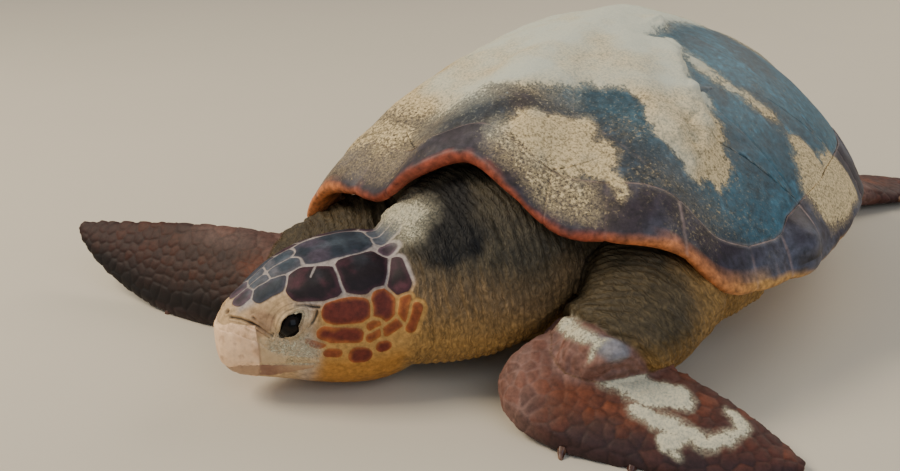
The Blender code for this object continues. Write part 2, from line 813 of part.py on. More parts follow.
def limb_solid(name, stations, side, grow, steps, finish="skin"):
    """Limb or part of one, closed at both ends."""
    rings = []
    for k in range(steps + 1):
        share = k / steps
        ring = limb_ring(stations, share, grow)
        if k in (0, steps):
            push = limb_heading(stations, share) * (grow if k else -grow)
            ring = [place + push for place in ring]
        rings.append(on_side(ring, side))
    return loft(name, rings, finish)


def neck_solid(name, grow):
    """Neck from inside the body to inside the head."""
    rows = [(*centre, wide, tall) for centre, wide, tall in NECK_STATIONS]
    rings = []
    for k in range(NECK_STEPS + 1):
        x, y, z, wide, tall = blend(rows, k / NECK_STEPS)
        turned = max(0.0, (k / NECK_STEPS - NECK_TURN_FROM) / (1 - NECK_TURN_FROM))
        turn = math.radians(HEAD_YAW) * turned
        across = Vector((math.cos(turn), -math.sin(turn), 0))
        ring = []
        for side, up in oval(wide + grow, tall + grow, -tall - grow, NECK_POWER, NECK_SEGMENTS):
            ring.append(Vector((x, y, z)) + across * side + Vector((0, 0, up)))
        rings.append(ring)
    return loft(name, rings, "skin")


def claw_solid(name, stations, share, side, grow):
    """Short curved claw on the leading edge."""
    root = limb_ring(stations, share, 0.0)[0]
    out = (root - limb_station(stations, share)[0]).normalized()
    along = limb_heading(stations, share)
    up = out.cross(along).normalized()
    start = root - out * CLAW_SUNK
    rings = []
    for k in range(CLAW_STEPS + 1):
        u = k / CLAW_STEPS
        middle = start + out * CLAW_LENGTH * u + along * CLAW_SWEEP * u * u
        size = CLAW_RADIUS * (1 - u) ** 0.8 + CLAW_TIP + grow
        if k in (0, CLAW_STEPS):
            middle += out * (grow if k else -grow)
        ring = []
        for i in range(6):
            turn = math.pi * i / 3
            ring.append(middle + (up * math.sin(turn) + along * math.cos(turn)) * size)
        rings.append(on_side(ring, side))
    return loft(name, rings, "claw")


def trunk_solid():
    """Flesh that fills the shell, cut to the shell afterwards."""
    floor = []
    low = []
    edge = []
    high = []
    cap = []
    for k in range(TRUNK_SEGMENTS):
        angle = 2 * math.pi * k / TRUNK_SEGMENTS
        x, y = plan_point(angle, TRUNK_WALL)
        rim = edge_at(angle)[1]
        flank = (1 - math.cos(2 * angle)) / 2
        floor.append((x * TRUNK_MIDDLE, y * TRUNK_MIDDLE, TRUNK_FLOOR))
        low.append((x * TRUNK_LOW_WALL, y * TRUNK_LOW_WALL, TRUNK_BOTTOM + TRUNK_FLANK * rim * flank))
        edge.append((x, y, rim))
        high.append((x, y, shell_height(x, y) + TRUNK_OVER))
        cap.append((x * TRUNK_MIDDLE, y * TRUNK_MIDDLE, APEX_Z + 2 * TRUNK_OVER))
    return loft("trunk", [floor, low, edge, high, cap], "skin")


def trim_to_shell(piece):
    """Take the shell, the plastron and the floor away from a piece of flesh."""
    cut(piece, dome_cutter())
    cut(piece, rim_cutter(-NUCHAL_ANGLE - RIM_CUTTER_LAP, 180 + RIM_CUTTER_LAP))
    cut(piece, rim_cutter(-NUCHAL_ANGLE, -180 - RIM_CUTTER_LAP))
    cut(piece, plastron_solid("cutter", PLASTRON_CLEAR, PLASTRON_DROP, "skin"))
    cut(piece, half_space((0, 0, 0), (0, 0, -1)))
    return piece


def add_claws(limb, row, hand, stations, side, shares):
    """Claws on the leading edge of one limb, with room made for them."""
    for number, share in enumerate(shares, 1):
        claw = claw_solid(f"claw_{row}_{hand}_{number}", stations, share, side, 0.0)
        cut(claw, half_space((0, 0, 0), (0, 0, -1)))
        cut(limb, claw_solid("cutter", stations, share, side, GAP))


def build_front_limbs():
    """Upper arms and flippers."""
    for hand, side, arm, blade in FRONT_LIMBS:
        flipper = limb_solid(f"flipper_{hand}", blade, side, 0.0, FLIPPER_STEPS, "flipper_skin")
        cut(flipper, half_space((0, 0, 0), (0, 0, -1)))
        add_claws(flipper, "front", hand, blade, side, CLAW_SHARES)
        upper = limb_solid(f"upper_arm_{hand}", arm, side, 0.0, ARM_STEPS)
        trim_to_shell(upper)
        cut(upper, limb_solid("cutter", blade, side, FLESH_GAP, FLIPPER_STEPS))


def build_hind_limbs():
    """Thighs and feet, parted at the ankle."""
    for hand, side in (("left", 1), ("right", -1)):
        limb = limb_solid(f"thigh_{hand}", LEG, side, 0.0, LEG_STEPS)
        trim_to_shell(limb)
        add_claws(limb, "hind", hand, LEG, side, HIND_CLAW_SHARES)
        ankle = on_side([limb_station(LEG, ANKLE_SHARE)[0]], side)[0]
        heading = on_side([limb_heading(LEG, ANKLE_SHARE)], side)[0]
        split(limb, ankle, heading, f"thigh_{hand}", f"foot_{hand}", "flipper_skin")


def cut_limbs(piece):
    """Make room for all four limbs in a piece of flesh."""
    for hand, side, arm, blade in FRONT_LIMBS:
        cut(piece, limb_solid("cutter", arm, side, FLESH_GAP, ARM_STEPS))
        cut(piece, limb_solid("cutter", blade, side, FLESH_GAP, FLIPPER_STEPS))
        cut(piece, limb_solid("cutter", LEG, side, FLESH_GAP, LEG_STEPS))


def build_body():
    """Neck, trunk and tail."""
    neck = neck_solid("neck", 0.0)
    trim_to_shell(neck)
    cut_limbs(neck)
    cut(neck, head_solid("cutter", FLESH_GAP))
    tail = limb_solid("tail", TAIL, 1, 0.0, TAIL_STEPS)
    trim_to_shell(tail)
    cut_limbs(tail)
    trunk = trunk_solid()
    trim_to_shell(trunk)
    cut_limbs(trunk)
    cut(trunk, neck_solid("cutter", FLESH_GAP))
    cut(trunk, limb_solid("cutter", TAIL, 1, FLESH_GAP, TAIL_STEPS))


def centre_on_floor():
    """Move everything so the middle of the bounding box's underside is the origin."""
    corners = [v.co for piece in bpy.data.objects for v in piece.data.vertices]
    low = Vector([min(c[k] for c in corners) for k in range(3)])
    high = Vector([max(c[k] for c in corners) for k in range(3)])
    shift = Vector((-(low.x + high.x) / 2, -(low.y + high.y) / 2, -low.z))
    for piece in bpy.data.objects:
        piece.data.transform(Matrix.Translation(shift))
    print("shift", tuple(round(v, 5) for v in shift), "size", tuple(round(v, 4) for v in high - low))


def main():
    """Build the turtle."""
    clear_scene()
    build_plates()
    build_rim()
    plastron_solid("plastron", 0.0, 0.0, "plastron")
    build_head()
    build_front_limbs()
    build_hind_limbs()
    build_body()
    for piece in list(bpy.data.objects):
        weld(piece, flatten=True)
    centre_on_floor()


main()
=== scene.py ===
"""Loggerhead turtle, life size: hide, shell, beak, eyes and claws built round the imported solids."""

import json
import logging
import math
from dataclasses import dataclass
from enum import Enum

import bmesh
import bpy
import numpy as np
from bpy.types import Material, Mesh, NodeSocket, NodeTree, Object, bpy_prop_collection
from mathutils import Matrix, Vector
from mathutils.bvhtree import BVHTree
from mathutils.kdtree import KDTree

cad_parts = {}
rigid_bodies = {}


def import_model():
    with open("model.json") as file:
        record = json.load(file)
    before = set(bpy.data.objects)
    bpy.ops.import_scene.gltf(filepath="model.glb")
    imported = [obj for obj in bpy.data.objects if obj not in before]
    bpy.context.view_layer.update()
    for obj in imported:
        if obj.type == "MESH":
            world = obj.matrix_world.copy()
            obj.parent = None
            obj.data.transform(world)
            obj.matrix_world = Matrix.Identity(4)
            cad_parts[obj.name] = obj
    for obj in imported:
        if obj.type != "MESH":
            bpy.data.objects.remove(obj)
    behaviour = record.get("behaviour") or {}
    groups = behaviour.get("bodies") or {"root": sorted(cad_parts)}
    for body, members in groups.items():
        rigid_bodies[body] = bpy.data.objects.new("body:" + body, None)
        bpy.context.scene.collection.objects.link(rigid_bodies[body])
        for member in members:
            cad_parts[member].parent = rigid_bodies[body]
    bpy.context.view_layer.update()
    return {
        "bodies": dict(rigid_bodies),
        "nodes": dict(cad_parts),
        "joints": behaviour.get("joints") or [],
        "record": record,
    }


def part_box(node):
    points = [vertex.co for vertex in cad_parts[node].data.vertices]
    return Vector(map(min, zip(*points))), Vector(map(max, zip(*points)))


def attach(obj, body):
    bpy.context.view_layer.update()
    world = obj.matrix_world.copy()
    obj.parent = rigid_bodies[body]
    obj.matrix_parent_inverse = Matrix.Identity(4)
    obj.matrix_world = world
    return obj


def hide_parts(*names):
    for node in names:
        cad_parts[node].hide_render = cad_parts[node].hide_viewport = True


LOG = logging.getLogger("loggerhead")
BODY = "root"
MM = 0.001
GRAIN_MM = 2.8  # crumbs of sand
FLECK_MM = 4.4  # stray crumbs on bare parts
BAY_MM = 95.0  # broad stretches over which the sand's painted cool sky light comes and goes
SKY_LIT_Z = (0.41, 0.50)  # height plus a quarter of the bays, where the sand is painted cool grey as sky light
Array = np.ndarray


# ---- colour and nodes
def linear(code: str) -> Array:
    """Turn an sRGB hex colour into linear light.

    Args:
        code: colour such as "#7a3e31".

    Returns:
        Red, green and blue in 0..1, linear.
    """
    parts = [int(code[i:i + 2], 16) / 255 for i in (1, 3, 5)]
    return np.array([p / 12.92 if p <= 0.04045 else ((p + 0.055) / 1.055) ** 2.4 for p in parts])


def add_node(tree: NodeTree, kind: str, settings: dict, links: dict,
             output: int | str = 0) -> NodeSocket:
    """Add one shader node with its settings and its incoming links.

    Args:
        tree: node tree of the material.
        kind: Blender's type name without "ShaderNode".
        settings: properties by name; a key that is an input's name or number sets that input.
        links: output socket for each input's name or number.
        output: number or name of the output that is wanted.

    Returns:
        That output socket of the new node.
    """
    node = tree.nodes.new("ShaderNode" + kind)
    for key, value in settings.items():
        if isinstance(key, int) or key in node.inputs:
            node.inputs[key].default_value = value
        else:
            setattr(node, key, value)
    for key, socket in links.items():
        tree.links.new(socket, node.inputs[key])
    return node.outputs[output]


@dataclass(frozen=True)
class Finish:
    """A surface: its gloss, its finest grain, its clouds of colour and how sand clings to it."""

    name: str
    roughness: float
    ior: float = 1.5
    grain_mm: float = 1.6  # size of the finest relief
    grain_depth_mm: float = 0.25
    mottle_mm: float = 14.0  # size of the clouds of colour
    mottle: float = 0.22  # how far they lighten and darken it
    streak_mm: float = 0.0  # spacing of fine creases across the limb; 0 has none
    # painted shade in the creases and painted light on the pads between them
    crease_shade: float = 0.0
    streak_depth_mm: float = 0.0
    coat: float = 0.0
    colour: str = ""  # one colour, where the mesh carries none
    sandy: bool = True
    clump_mm: float = 4.6  # size of the clumps of damp sand
    fleck: float = 0.0  # grains scattered over the bare parts
    pale: float = 0.0  # least share of painted cool sky light on its sand

    def build(self) -> Material:
        """Make the material.

        Returns:
            The finished material.
        """
        made = bpy.data.materials.new(self.name)
        made.use_nodes = True
        tree = made.node_tree
        shader = tree.nodes["Principled BSDF"]
        shader.inputs["IOR"].default_value = self.ior
        shader.inputs["Coat Weight"].default_value = self.coat
        shader.inputs["Coat Roughness"].default_value = 0.12
        place = add_node(tree, "TexCoord", {}, {}, "Object")
        colour = self._tint(tree, place)
        relief = self._relief(tree, place)
        if self.sandy:
            colour, rough, relief = self._sand(tree, place, colour, relief)
            tree.links.new(rough, shader.inputs["Roughness"])
        else:
            shader.inputs["Roughness"].default_value = self.roughness
        tree.links.new(colour, shader.inputs["Base Color"])
        bump = add_node(tree, "Bump", {"Distance": MM, "Strength": 1.0}, {"Height": relief})
        tree.links.new(bump, shader.inputs["Normal"])
        return made

    def _tint(self, tree: NodeTree, place: NodeSocket) -> NodeSocket:
        """Colour with its clouds and creases.

        Args:
            tree: node tree of the material.
            place: position on the piece.

        Returns:
            Colour socket.
        """
        cloud = add_node(tree, "TexNoise", {"Scale": 1 / (self.mottle_mm * MM), "Detail": 5.0,
                                            "Roughness": 0.62}, {"Vector": place})
        gain = add_node(tree, "MapRange", {"From Min": 0.32, "From Max": 0.68,
                                           "To Min": 1 - self.mottle, "To Max": 1 + self.mottle},
                        {"Value": cloud})
        if self.streak_mm:
            line = self._creases(tree, place)
            # Painted shade and light: darker in the creases, lighter on the pads.
            light = add_node(tree, "MapRange", {"To Min": 1 - self.crease_shade,
                                                "To Max": 1 + self.crease_shade * 0.55}, {"Value": line})
            weight = add_node(tree, "Attribute", {"attribute_name": "creased"}, {}, "Fac")
            blend = add_node(tree, "Mix", {"A": 1.0}, {"Factor": weight, "B": light})
            gain = add_node(tree, "Math", {"operation": "MULTIPLY"}, {0: gain, 1: blend})
        if self.colour:
            return add_node(tree, "VectorMath", {"operation": "SCALE", 0: linear(self.colour)},
                            {"Scale": gain})
        tint = add_node(tree, "Attribute", {"attribute_name": "tint"}, {}, "Color")
        return add_node(tree, "VectorMath", {"operation": "SCALE"},
                        {"Vector": tint, "Scale": gain})

    def _creases(self, tree: NodeTree, place: NodeSocket) -> NodeSocket:
        """Small pads of skin between creases that run round the neck and the upper arms.

        Args:
            tree: node tree of the material.
            place: position on the piece.

        Returns:
            Height of the pads, 0 in a crease to 1.
        """
        run = add_node(tree, "Attribute", {"attribute_name": "run"}, {}, "Fac")
        across = add_node(tree, "Math", {"operation": "MULTIPLY", 1: 1 / (self.streak_mm * MM)},
                          {0: run})
        sway = add_node(tree, "TexNoise", {"Scale": 1 / (16 * MM), "Detail": 2.0},
                        {"Vector": place})
        swayed = add_node(tree, "Math", {"operation": "MULTIPLY_ADD", 1: 4.0},
                          {0: sway, 2: across})
        ahead = add_node(tree, "CombineXYZ", {}, {"X": swayed})
        slow = add_node(tree, "VectorMath", {"operation": "SCALE",
                                             "Scale": 0.40 / (self.streak_mm * MM)},
                        {"Vector": place})
        where = add_node(tree, "VectorMath", {"operation": "ADD"}, {0: slow, 1: ahead})
        pads = add_node(tree, "TexVoronoi", {"feature": "DISTANCE_TO_EDGE", "Scale": 1.0},
                        {"Vector": where})
        pad = add_node(tree, "MapRange", {"From Max": 0.30}, {"Value": pads})
        loose = add_node(tree, "TexNoise", {"Scale": 0.70, "Detail": 4.0, "Roughness": 0.70},
                         {"Vector": where})
        spread = add_node(tree, "MapRange", {"From Min": 0.35, "From Max": 0.65}, {"Value": loose})
        return add_node(tree, "Mix", {"Factor": 0.5}, {"A": pad, "B": spread})

    def _relief(self, tree: NodeTree, place: NodeSocket) -> NodeSocket:
        """Height of the finest relief in millimetres.

        Args:
            tree: node tree of the material.
            place: position on the piece.

        Returns:
            Height socket.
        """
        grain = add_node(tree, "TexNoise", {"Scale": 1 / (self.grain_mm * MM), "Detail": 3.0,
                                            "Roughness": 0.55}, {"Vector": place})
        height = add_node(tree, "Math", {"operation": "MULTIPLY", 1: self.grain_depth_mm},
                          {0: grain})
        if self.streak_mm:
            weight = add_node(tree, "Attribute", {"attribute_name": "creased"}, {}, "Fac")
            line = add_node(tree, "Math", {"operation": "MULTIPLY"},
                            {0: self._creases(tree, place), 1: weight})
            height = add_node(tree, "Math", {"operation": "MULTIPLY_ADD", 1: self.streak_depth_mm},
                              {0: line, 2: height})
        return height

    def _sand(self, tree: NodeTree, place: NodeSocket,
              colour: NodeSocket, relief: NodeSocket) -> tuple:
        """Dry sand that clings where the mesh says so.

        Args:
            tree: node tree of the material.
            place: position on the piece.
            colour: colour of the bare surface.
            relief: height of the bare surface.

        Returns:
            Colour, roughness and height sockets.
        """
        cover = add_node(tree, "Attribute", {"attribute_name": "sand"}, {}, "Fac")
        # Beach sand is 0.5 mm; damp clumps of 2 to 5 mm are what shows at a metre.
        clump = add_node(tree, "TexNoise", {"Scale": 1 / (self.clump_mm * MM), "Detail": 5.0,
                                            "Roughness": 0.74}, {"Vector": place})
        broken = add_node(tree, "Math", {"operation": "MULTIPLY_ADD", 1: 1.7}, {0: clump, 2: cover})
        shown = add_node(tree, "MapRange", {"From Min": 1.25, "From Max": 1.43}, {"Value": broken})
        grains = add_node(tree, "TexNoise", {"Scale": 1 / (GRAIN_MM * MM), "Detail": 4.0,
                                             "Roughness": 0.65}, {"Vector": place})
        film = add_node(tree, "MapRange", {"From Max": 0.75, "To Max": 0.78}, {"Value": cover})
        speck = add_node(tree, "MapRange", {"From Min": 0.38, "From Max": 0.62, "To Min": 0.45,
                                            "To Max": 1.15}, {"Value": grains})
        dusted = add_node(tree, "Math", {"operation": "MULTIPLY"}, {0: film, 1: speck})
        shown = add_node(tree, "Math", {"operation": "MAXIMUM"}, {0: shown, 1: dusted})
        fleck = add_node(tree, "TexNoise", {"Scale": 1 / (FLECK_MM * MM), "Detail": 3.0,
                                            "Roughness": 0.65}, {"Vector": place})
        fleck = add_node(tree, "MapRange", {"From Min": 0.54, "From Max": 0.68,
                                            "To Max": self.fleck}, {"Value": fleck})
        thin = add_node(tree, "MapRange", {"From Max": 0.07}, {"Value": cover})
        fleck = add_node(tree, "Math", {"operation": "MULTIPLY"}, {0: fleck, 1: thin})
        shown = add_node(tree, "Math", {"operation": "MAXIMUM", "use_clamp": True},
                         {0: shown, 1: fleck})
        heap = add_node(tree, "Math", {"operation": "MULTIPLY_ADD", 1: 0.75}, {0: clump, 2: grains})
        shade = add_node(tree, "ValToRGB", {}, {"Fac": heap})
        deep, lit = shade.node.color_ramp.elements
        deep.position, lit.position = 0.70, 0.96
        deep.color, lit.color = (*linear("#857657"), 1), (*linear("#e4cc9d"), 1)
        # Painted sky light: the higher the sand lies, the more it turns cool grey.
        bay = add_node(tree, "TexNoise", {"Scale": 1 / (BAY_MM * MM), "Detail": 3.0},
                       {"Vector": place})
        height = add_node(tree, "SeparateXYZ", {}, {"Vector": place}, "Z")
        top = add_node(tree, "Math", {"operation": "MULTIPLY_ADD", 1: 0.25}, {0: bay, 2: height})
        sky_lit = add_node(tree, "MapRange", {"From Min": SKY_LIT_Z[0], "From Max": SKY_LIT_Z[1],
                                            "To Min": self.pale, "To Max": 0.85},
                         {"Value": top})
        tone = add_node(tree, "Mix", {"data_type": "RGBA", 7: (*linear("#cdd3c3"), 1)},
                        {"Factor": sky_lit, 6: shade}, 2)
        mixed = add_node(tree, "Mix", {"data_type": "RGBA"},
                         {"Factor": shown, 6: colour, 7: tone}, 2)
        rough = add_node(tree, "MapRange", {"To Min": self.roughness, "To Max": 0.96},
                         {"Value": shown})
        raised = add_node(tree, "Math", {"operation": "MULTIPLY_ADD"},
                          {0: heap, 1: shown, 2: relief})
        return mixed, rough, raised


# Reptile hide, dry: keratin over folded skin, matt, with wavering pads of 5 by 12 mm, painted with
# shade in the creases and light on the pads.
HIDE = Finish("scaled_hide", 0.62, 1.36, grain_mm=1.8, grain_depth_mm=0.22, mottle_mm=7.0,
              mottle=0.32, streak_mm=4.8, crease_shade=0.52, streak_depth_mm=1.5, clump_mm=3.0, pale=0.5)
# Shell keratin, worn smooth by water: a dull satin with a faint flake.
SCUTE = Finish("carapace_keratin", 0.56, 1.42, grain_mm=2.2, grain_depth_mm=0.30, mottle_mm=9.0,
               mottle=0.50, fleck=0.50)
# Plastron keratin: paler and more rubbed than the back.
PLASTRON_HORN = Finish("plastron_keratin", 0.60, 1.54, grain_mm=3.0, grain_depth_mm=0.25,
                       mottle_mm=22.0, mottle=0.16)
# Beak: thick horn, polished by feeding, chalky where it flakes.
BEAK_HORN = Finish("beak_horn", 0.46, 1.54, grain_mm=2.6, grain_depth_mm=0.22, mottle_mm=8.0,
                   mottle=0.10, clump_mm=3.0)
# Claw: dense horn with a satin face.
CLAW_HORN = Finish("claw_horn", 0.40, 1.54, grain_mm=1.5, grain_depth_mm=0.15, mottle_mm=5.0,
                   mottle=0.20, sandy=False)
# Eye: wet cornea over a nearly black iris.
EYE_WET = Finish("wet_eye", 0.16, 1.22, grain_mm=4.0, grain_depth_mm=0.0, mottle_mm=3.0,
                 mottle=0.15, coat=0.06, sandy=False)
# Studio floor: matt painted board.
FLOOR_PAINT = Finish("matt_floor_paint", 0.85, 1.45, grain_mm=6.0, grain_depth_mm=0.05,
                     mottle_mm=900.0, mottle=0.015, colour="#cfc6b4", sandy=False)


# ---- numbers over many points
def ease(value: Array, low: float, high: float) -> Array:
    """Smooth step from 0 at low to 1 at high, which may be the smaller one."""
    share = np.clip((value - low) / (high - low), 0.0, 1.0)
    return share * share * (3 - 2 * share)


def bell(value: Array, width: float | Array) -> Array:
    """1 where the value is 0, falling off evenly to both sides over about the width."""
    return np.exp(-((value / width) ** 2))


def mix(first: Array, second: Array, share: Array) -> Array:
    """Blend two colours or lists of colours by a share for each point."""
    return first + (second - first) * share[:, None]


def wander(points: Array, size: float, seed: int, octaves: int = 3) -> Array:
    """Smooth seeded noise.

    Args:
        points: places, one row each.
        size: size of the largest waves, in metres.
        seed: choice of pattern.
        octaves: how many finer layers are added.

    Returns:
        A value for each point, mostly within -1..1.
    """
    total = np.zeros(len(points))
    for octave in range(octaves):
        spot = points / size * 2 ** octave + 31.7 * seed + 7.1 * octave
        cell = np.floor(spot).astype(np.int64)
        part = spot - cell
        part = part * part * (3 - 2 * part)
        layer = np.zeros(len(points))
        for corner in range(8):
            shift = np.array([corner & 1, corner >> 1 & 1, corner >> 2])
            at = cell + shift
            code = at[:, 0] * 73856093 ^ at[:, 1] * 19349663 ^ at[:, 2] * 83492791
            code = (code ^ code >> 13) * 1274126177 & 0xFFFFFFFF
            code = (code ^ code >> 16) & 0xFFFF
            weight = np.prod(np.where(shift, part, 1 - part), axis=1)
            layer += weight * (code / 32767.5 - 1)
        total += layer * 0.5 ** octave
    return total


def to_segment(points: Array, start: Array, end: Array) -> Array:
    """Distance from each point to a straight segment.

    Args:
        points: places, one row each.
        start: one end.
        end: the other end.

    Returns:
        Distances in metres.
    """
    way = end - start
    share = np.clip((points - start) @ way / max(way @ way, 1e-12), 0, 1)
    return np.linalg.norm(points - start - share[:, None] * way, axis=1)


def to_line(points: Array, spots: Array) -> Array:
    """Distance from each point to a line that runs through places in order."""
    return np.min([to_segment(points, a, b) for a, b in zip(spots, spots[1:])], axis=0)


def relax(values: Array, edges: Array, rounds: int, weight: float = 0.5,
          back: float = 0.0) -> Array:
    """Even out values over a mesh.

    Args:
        values: one row for each vertex.
        edges: pairs of vertex numbers.
        rounds: how often it is done.
        weight: share of the way to the neighbours' mean.
        back: share of the way back after each round, which keeps the volume.

    Returns:
        The evened values.
    """
    count = len(values)
    degree = np.maximum(np.bincount(edges.ravel(), minlength=count), 1)[:, None]
    out = values.astype(float).copy()
    for _ in range(rounds):
        for push in (weight, -back):
            if push:
                mean = np.empty_like(out)
                for k in range(out.shape[1]):
                    mean[:, k] = np.bincount(edges[:, 0], out[edges[:, 1], k], count)
                    mean[:, k] += np.bincount(edges[:, 1], out[edges[:, 0], k], count)
                out += push * (mean / degree - out)
    return out


# ---- meshes
def rows_of(items: bpy_prop_collection, field: str, width: int, kind: type = float) -> Array:
    """Read a field of a mesh's vertices, edges, faces or corners.

    Args:
        items: the collection.
        field: name of the field.
        width: how many numbers each item has.
        kind: type of the numbers.

    Returns:
        One row for each item.
    """
    out = np.empty(len(items) * width, kind)
    items.foreach_get(field, out)
    return out.reshape(-1, width)


def points_of(mesh: Mesh) -> Array:
    """Vertex places of a mesh, one row each."""
    return rows_of(mesh.vertices, "co", 3)


def normals_of(mesh: Mesh) -> Array:
    """Vertex normals of a mesh, one row each."""
    return rows_of(mesh.vertices, "normal", 3)


def edges_of(mesh: Mesh) -> Array:
    """Edges of a mesh as pairs of vertex numbers."""
    return rows_of(mesh.edges, "vertices", 2, np.int32)


def place_points(mesh: Mesh, points: Array) -> None:
    """Give a mesh new vertex places."""
    mesh.vertices.foreach_set("co", points.astype(np.float32).ravel())
    mesh.update()


def keep_values(mesh: Mesh, name: str, values: Array) -> None:
    """Store a number, or a colour, for each vertex under a name that the finish reads.

    Args:
        mesh: mesh to write to.
        name: name of the attribute.
        values: one number or colour for each vertex.
    """
    if values.ndim == 2:
        layer = mesh.attributes.new(name, "FLOAT_COLOR", "POINT")
        full = np.ones((len(values), 4), np.float32)
        full[:, :3] = np.clip(values, 0, 1)
        layer.data.foreach_set("color", full.ravel())
    else:
        layer = mesh.attributes.new(name, "FLOAT", "POINT")
        layer.data.foreach_set("value", values.astype(np.float32))


def finish_piece(piece: Object, material: Material, nodes: list[str]) -> Object:
    """Give a piece its material, body, slot and the solids that it stands for.

    Args:
        piece: the finished mesh object.
        material: its material.
        nodes: solids that it replaces.

    Returns:
        The same piece.
    """
    piece.data.materials.clear()
    piece.data.materials.append(material)
    piece.data.shade_smooth()
    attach(piece, BODY)
    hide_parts(*nodes)
    LOG.info("%s: %d faces", piece.name, len(piece.data.polygons))
    return piece


def new_piece(name: str, points: Array, faces: list) -> Object:
    """Mesh object from places and faces, with its faces turned outward.

    Args:
        name: name of the piece.
        points: vertex places.
        faces: vertex numbers of each face.

    Returns:
        The new object, linked to the scene.
    """
    mesh = bpy.data.meshes.new(name)
    mesh.from_pydata(np.asarray(points).tolist(), [], faces)
    work = bmesh.new()
    work.from_mesh(mesh)
    bmesh.ops.recalc_face_normals(work, faces=work.faces)
    work.to_mesh(mesh)
    work.free()
    piece = bpy.data.objects.new(name, mesh)
    bpy.context.scene.collection.objects.link(piece)
    return piece


def sharpen(mesh: Mesh, count: int) -> None:
    """Keep the corner crisp between a plate's skirt, its first count points, and its top.

    Args:
        mesh: the plate.
        count: how many points lead.
    """
    edges = edges_of(mesh)
    crisp = ((edges >= count) & (edges < 2 * count)).all(axis=1)
    layer = mesh.attributes.new("sharp_edge", "BOOLEAN", "EDGE")
    layer.data.foreach_set("value", crisp)


def grid_faces(rows: int, columns: int, closed: bool) -> list[tuple[int, int, int, int]]:
    """Quads between neighbouring rows; closed joins the last column to the first.

    Args:
        rows: number of rows.
        columns: points in a row.
        closed: whether each row is a ring.

    Returns:
        Faces as vertex numbers.
    """
    span = columns if closed else columns - 1
    here = (np.arange(rows - 1)[:, None] * columns + np.arange(span)).ravel()
    nxt = (np.arange(rows - 1)[:, None] * columns + (np.arange(span) + 1) % columns).ravel()
    return np.stack([here, nxt, nxt + columns, here + columns], 1).tolist()


def merged_copy(name: str, nodes: list[str], frame: dict) -> Object:
    """One object that holds copies of several solids.

    Args:
        name: name of the new object.
        nodes: names of the solids.

    Returns:
        The new object.
    """
    work = bmesh.new()
    for node in nodes:
        work.from_mesh(frame["nodes"][node].data)
    mesh = bpy.data.meshes.new(name)
    work.to_mesh(mesh)
    work.free()
    piece = bpy.data.objects.new(name, mesh)
    bpy.context.scene.collection.objects.link(piece)
    return piece


def remesh(piece: Object, voxel: float) -> None:
    """Wrap a piece in one even skin of small quads.

    Args:
        piece: the object.
        voxel: size of a quad, in metres.
    """
    step = piece.modifiers.new("wrap", "REMESH")
    step.mode = "VOXEL"
    step.voxel_size = voxel
    graph = bpy.context.evaluated_depsgraph_get()
    done = bpy.data.meshes.new_from_object(piece.evaluated_get(graph))
    piece.modifiers.clear()
    piece.data = done


def wrapped(name: str, node: str, frame: dict, voxel: float, rounds: int) -> tuple[Object, Array]:
    """A solid's copy in an even skin, smoothed without losing volume.

    Args:
        name: name of the new object.
        node: name of the solid.
        voxel: size of a quad, in metres.
        rounds: how often it is smoothed.

    Returns:
        The new object and its vertex places.
    """
    piece = merged_copy(name, [node], frame)
    remesh(piece, voxel)
    mesh = piece.data
    points = relax(points_of(mesh), edges_of(mesh), rounds, 0.5, 0.51)
    place_points(mesh, points)
    return piece, points


# ---- sand on the animal
@dataclass(frozen=True)
class Drift:
    """Sand that clings along a line of places, in millimetres from the shell's origin."""

    line: tuple[tuple[float, float, float], ...]
    reach: float  # mm from the line to the edge of the sand
    full: float = 1.0  # cover in the middle, below 1 where single grains show
    soft: float = 0.30  # share of the reach over which it thins out

    def depth(self, points: Array) -> Array:
        """How far in from the drift's edge each place lies, as a share of its reach."""
        return 1 - to_line(points, np.array(self.line) * MM) / (self.reach * MM)

    def cover(self, depth: Array) -> Array:
        """Cover at a depth into the drift, thinning out toward its edge."""
        return self.full * ease(depth, -self.soft / 2, self.soft)


def sand_cover(points: Array, drifts: tuple[Drift, ...], wide: float,
               fine: float) -> tuple[Array, Array]:
    """Cover of sand with a ragged edge, and how far in from that edge a place lies.

    Args:
        points: places from the shell's origin.
        drifts: the patches.
        wide: how far the edge wanders in broad bays, in metres.
        fine: how far it wanders in small ones.

    Returns:
        Cover, 0 bare to 1 full, and metres in from the edge, less where the sand is thin.
    """
    broad = np.stack([wander(points, 0.070, 5 + k, 2) for k in range(3)], 1) * wide
    small = np.stack([wander(points, 0.016, 8 + k, 3) for k in range(3)], 1) * fine
    bent = points + broad + small
    cover = np.zeros(len(points))
    bank = np.zeros(len(points))
    for drift in drifts:
        depth = drift.depth(bent)
        cover = np.maximum(cover, drift.cover(depth))
        bank = np.maximum(bank, depth * drift.reach * MM * drift.full ** 2)
    return cover, bank


